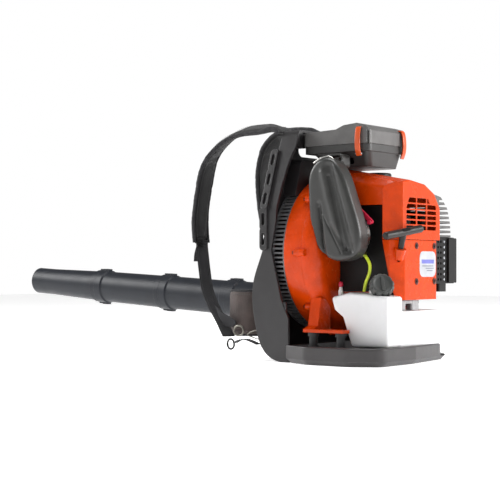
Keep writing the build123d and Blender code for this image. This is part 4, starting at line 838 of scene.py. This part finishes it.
# ---- intake duct, latches and cap with their moulded shapes ----
def near_path(y, z, path):
    """Distance from a point to a path in the side view, and how far along the path it lies, from 0 to 1."""
    best, share = 1.0, 0.0
    for i, ((ay, az), (by, bz)) in enumerate(zip(path, path[1:])):
        run = (by - ay, bz - az)
        t = ((y - ay) * run[0] + (z - az) * run[1]) / (run[0] ** 2 + run[1] ** 2)
        t = min(max(t, 0.0), 1.0)
        reach = math.hypot(y - ay - run[0] * t, z - az - run[1] * t)
        if reach < best:
            best, share = reach, (i + t) / (len(path) - 1)
    return best, share


def carved_duct():
    """The duct's skin with its deep branching flutes, pressed into the moulded shape."""
    low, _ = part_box("intake_duct")
    mesh = frame["nodes"]["intake_duct"].data.copy()
    piece = bpy.data.objects.new("duct_shell", mesh)
    collection.objects.link(piece)
    work = bmesh.new()
    work.from_mesh(mesh)
    bmesh.ops.remove_doubles(work, verts=work.verts, dist=1e-6)
    work.to_mesh(mesh)
    work.free()
    remesh = piece.modifiers.new("remesh", "REMESH")
    remesh.mode = "VOXEL"
    remesh.voxel_size = 0.0016
    smoother = piece.modifiers.new("smooth", "SMOOTH")
    smoother.iterations = 3
    bpy.context.view_layer.update()
    piece.data = bpy.data.meshes.new_from_object(piece.evaluated_get(bpy.context.evaluated_depsgraph_get()))
    piece.modifiers.clear()
    # each flute: its path down the side as (y, z), half width, depth, and how deep it starts
    flutes = (
        ([(0.0135, 0.338), (0.0100, 0.304), (0.0060, 0.262), (0.0010, 0.229)], 0.0050, 0.0085, 0.5),
        ([(-0.012, 0.418), (-0.026, 0.366), (-0.041, 0.320), (-0.056, 0.271), (-0.066, 0.240)],
         0.0085, 0.0075, 0.9),
        ([(-0.018, 0.290), (-0.040, 0.262), (-0.054, 0.240)], 0.0065, 0.0055, 0.5),
    )
    ridge = [(0.004, 0.405), (-0.010, 0.350), (-0.026, 0.300), (-0.044, 0.250)]
    ridge_width, ridge_height = 0.0070, 0.0028
    for vertex in piece.data.vertices:
        near_skin = min(max((low.x + 0.026 - vertex.co.x) / 0.012, 0.0), 1.0)
        outward = near_skin * max(-vertex.normal.x, 0.0) ** 0.5
        if outward <= 0:
            continue
        push = 0.0
        for path, width, depth, evenness in flutes:
            reach, share = near_path(vertex.co.y, vertex.co.z, path)
            push += depth * (evenness + (1 - evenness) * share) * math.exp(-(reach / width) ** 2)
        reach, _ = near_path(vertex.co.y, vertex.co.z, ridge)
        push -= ridge_height * math.exp(-(reach / ridge_width) ** 2)
        vertex.co.x += push * outward
    piece.data.materials.clear()
    piece.data.materials.append(finishes["duct_plastic"])
    piece.data.polygons.foreach_set("use_smooth", [True] * len(piece.data.polygons))
    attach(piece, "blower")
    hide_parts("intake_duct")


def latches():
    """Sprung latches that hook over the filter cover's edge and bow outwards."""
    bow = [(0.0080, 0.0585), (0.0020, 0.0580), (-0.0012, 0.0540), (-0.0040, 0.0420), (-0.0048, 0.0250),
           (-0.0030, 0.0100), (0.0005, 0.0010), (0.0022, -0.0020)]
    for name, out, across in (("left", -X_WAY, Vector((0, 1, 0))), ("right", Vector((0, -1, 0)), X_WAY)):
        low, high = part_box("filter_latch_" + name)
        middle = (low + high) / 2
        foot = Vector((middle.x, middle.y, low.z))
        line = smooth_line([foot + out * (-lean) + UP * rise for lean, rise in bow], 48)
        body = "latch_" + name
        strip = swept(f"latch_bow_{name}", line, across,
                      lambda share: pillow(0.0125, 0.0034, 20, 5.0), body, "latch_plastic")
        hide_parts("filter_latch_" + name)
        inner = [p - out * 0.0030 for p in line[10:44]]
        swept(f"latch_rib_{name}", inner, across, lambda share: pillow(0.0085, 0.0030, 16, 4.0),
              body, "black_plastic")
        pin = line[-4] - out * 0.001
        ends = [pin + across * x for x in (-0.0078, -0.002, 0.002, 0.0078)]
        bent_wire(f"latch_pin_{name}", ends, 0.0016, body, "steel")


def fuel_cap():
    axis = Vector((-0.6, -0.64, 0.48)).normalized()
    centre = Vector((-0.124, -0.118, 0.166))
    profile = [(-0.010, 0.0240), (-0.009, 0.0257), (-0.004, 0.0260), (0.001, 0.0260), (0.0055, 0.0256),
               (0.0078, 0.0240), (0.0094, 0.0222), (0.0096, 0.0195), (0.0084, 0.0180), (0.0080, 0.0120),
               (0.0088, 0.0060), (0.0090, 0.0001), (-0.003, 0.0001), (-0.003, 0.0206), (-0.010, 0.0206)]
    cap = lathe("cap_shell", profile, centre, axis, "cap_plastic", 168)
    lobes, lobe_depth = 12, 0.0032
    grip_radius, skirt_end = 0.0213, -0.0095
    side = axis.orthogonal().normalized()
    other = axis.cross(side)
    for vertex in cap.data.vertices:
        spoke = vertex.co - centre
        along = spoke.dot(axis)
        flat = spoke - axis * along
        if flat.length < grip_radius or along < skirt_end:
            continue
        turn = math.atan2(flat.dot(other), flat.dot(side))
        hollow = max(0.0, math.cos(lobes * turn)) ** 1.5
        vertex.co -= flat.normalized() * (lobe_depth * hollow * ease(0.0098 - along, 0.0, 0.004))
    # finger bar across the face
    bar_way = (side * 0.8 + other * 0.6).normalized()
    plate("cap_bar", rounded_box(0.033, 0.0075, 0.0035), centre + axis * 0.0078, bar_way, axis.cross(bar_way),
          0.0032, "cap", "cap_plastic", 0.0012)
    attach(cap, "cap")
    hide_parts("fuel_cap")


def upright_loop(x, y, z, half_width, half_height):
    """Twelve points round an upright ellipse that faces sideways."""
    turns = [math.radians(t) for t in range(0, 360, 30)]
    return [(x, y + half_width * math.cos(t), z + half_height * math.sin(t)) for t in turns]


def rings():
    """D-rings and the small rings that hang from the hip straps."""
    for side, name in ((-1, "left"), (1, "right")):
        x = side * 0.167
        dee = upright_loop(x, 0.2275, 0.064, 0.0135, 0.0115)
        ring = bent_wire(f"dee_ring_{name}", dee, 0.0021, "blower", "ring_steel", closed=True)
        if side < 0:
            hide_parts("harness_rings")
        loop = upright_loop(x, 0.250, 0.0335, 0.0098, 0.0115)
        bent_wire(f"small_ring_{name}", loop, 0.0021, "blower", "black_plastic", closed=True)


# ---- everything ----
carved_duct()
latches()
fuel_cap()
rings()
back_pad()
lumbar_pad()
harness()
bellows()
starter_rope()
small_parts()


# ---- studio: pale floor, soft light, camera where the machine was seen from ----
def studio():
    mesh = bpy.data.meshes.new("floor")
    edge = 6.0
    corners = [(-edge, -edge, 0), (edge, -edge, 0), (edge, edge, 0), (-edge, edge, 0)]
    mesh.from_pydata(corners, [], [(0, 1, 2, 3)])
    floor = bpy.data.objects.new("floor", mesh)
    collection.objects.link(floor)
    s = Surface("floor_paint", 0.7, Emission_Color=(1, 1, 1, 1), Emission_Strength=0.62)
    s.done(s.mix(s.ramp(s.noise(3, 2), 0.3, 0.7), (0.92, 0.92, 0.92), (0.96, 0.96, 0.96)))
    mesh.materials.append(s.material)

    world = bpy.data.worlds.new("studio")
    bpy.context.scene.world = world
    world.use_nodes = True
    # white round the horizon and dim overhead, like a cyclorama
    tree = world.node_tree
    background = tree.nodes["Background"]
    background.inputs["Color"].default_value = (1, 1, 1, 1)
    direction = tree.nodes.new("ShaderNodeTexCoord")
    split = tree.nodes.new("ShaderNodeSeparateXYZ")
    dome = tree.nodes.new("ShaderNodeMapRange")
    dome.interpolation_type = "SMOOTHSTEP"
    dome.inputs["From Min"].default_value = 0.215
    dome.inputs["From Max"].default_value = 0.33
    dome.inputs["To Min"].default_value = 1.0
    dome.inputs["To Max"].default_value = 0.2
    tree.links.new(direction.outputs["Generated"], split.inputs["Vector"])
    tree.links.new(split.outputs["Z"], dome.inputs["Value"])
    tree.links.new(dome.outputs["Result"], background.inputs["Strength"])

    for name, place, target, size, power in (
        ("rear", (1.3, -2.5, 1.2), (0, 0, 0.25), 1.3, 80),
        ("front", (-0.9, 2.6, 1.5), (0, 0.1, 0.25), 1.2, 50),
        ("top", (0.1, 0.1, 2.8), (0, 0, 0.3), 1.5, 60),
    ):
        data = bpy.data.lights.new(name, "AREA")
        data.size = size
        data.energy = power
        light = bpy.data.objects.new(name, data)
        light.location = place
        light.rotation_euler = (Vector(target) - Vector(place)).to_track_quat("-Z", "Y").to_euler()
        collection.objects.link(light)

    data = bpy.data.cameras.new("camera")
    # long lens, level with the machine, from behind its left side
    data.lens = 93.6
    data.sensor_width = 36.0
    data.shift_y = 0.036
    camera = bpy.data.objects.new("camera", data)
    camera.location = (-2.4209, -1.5651, 0.2026)
    camera.rotation_euler = (math.radians(90), 0, math.radians(-52))
    collection.objects.link(camera)
    bpy.context.scene.camera = camera
    bpy.context.scene.view_settings.view_transform = "Standard"


studio()
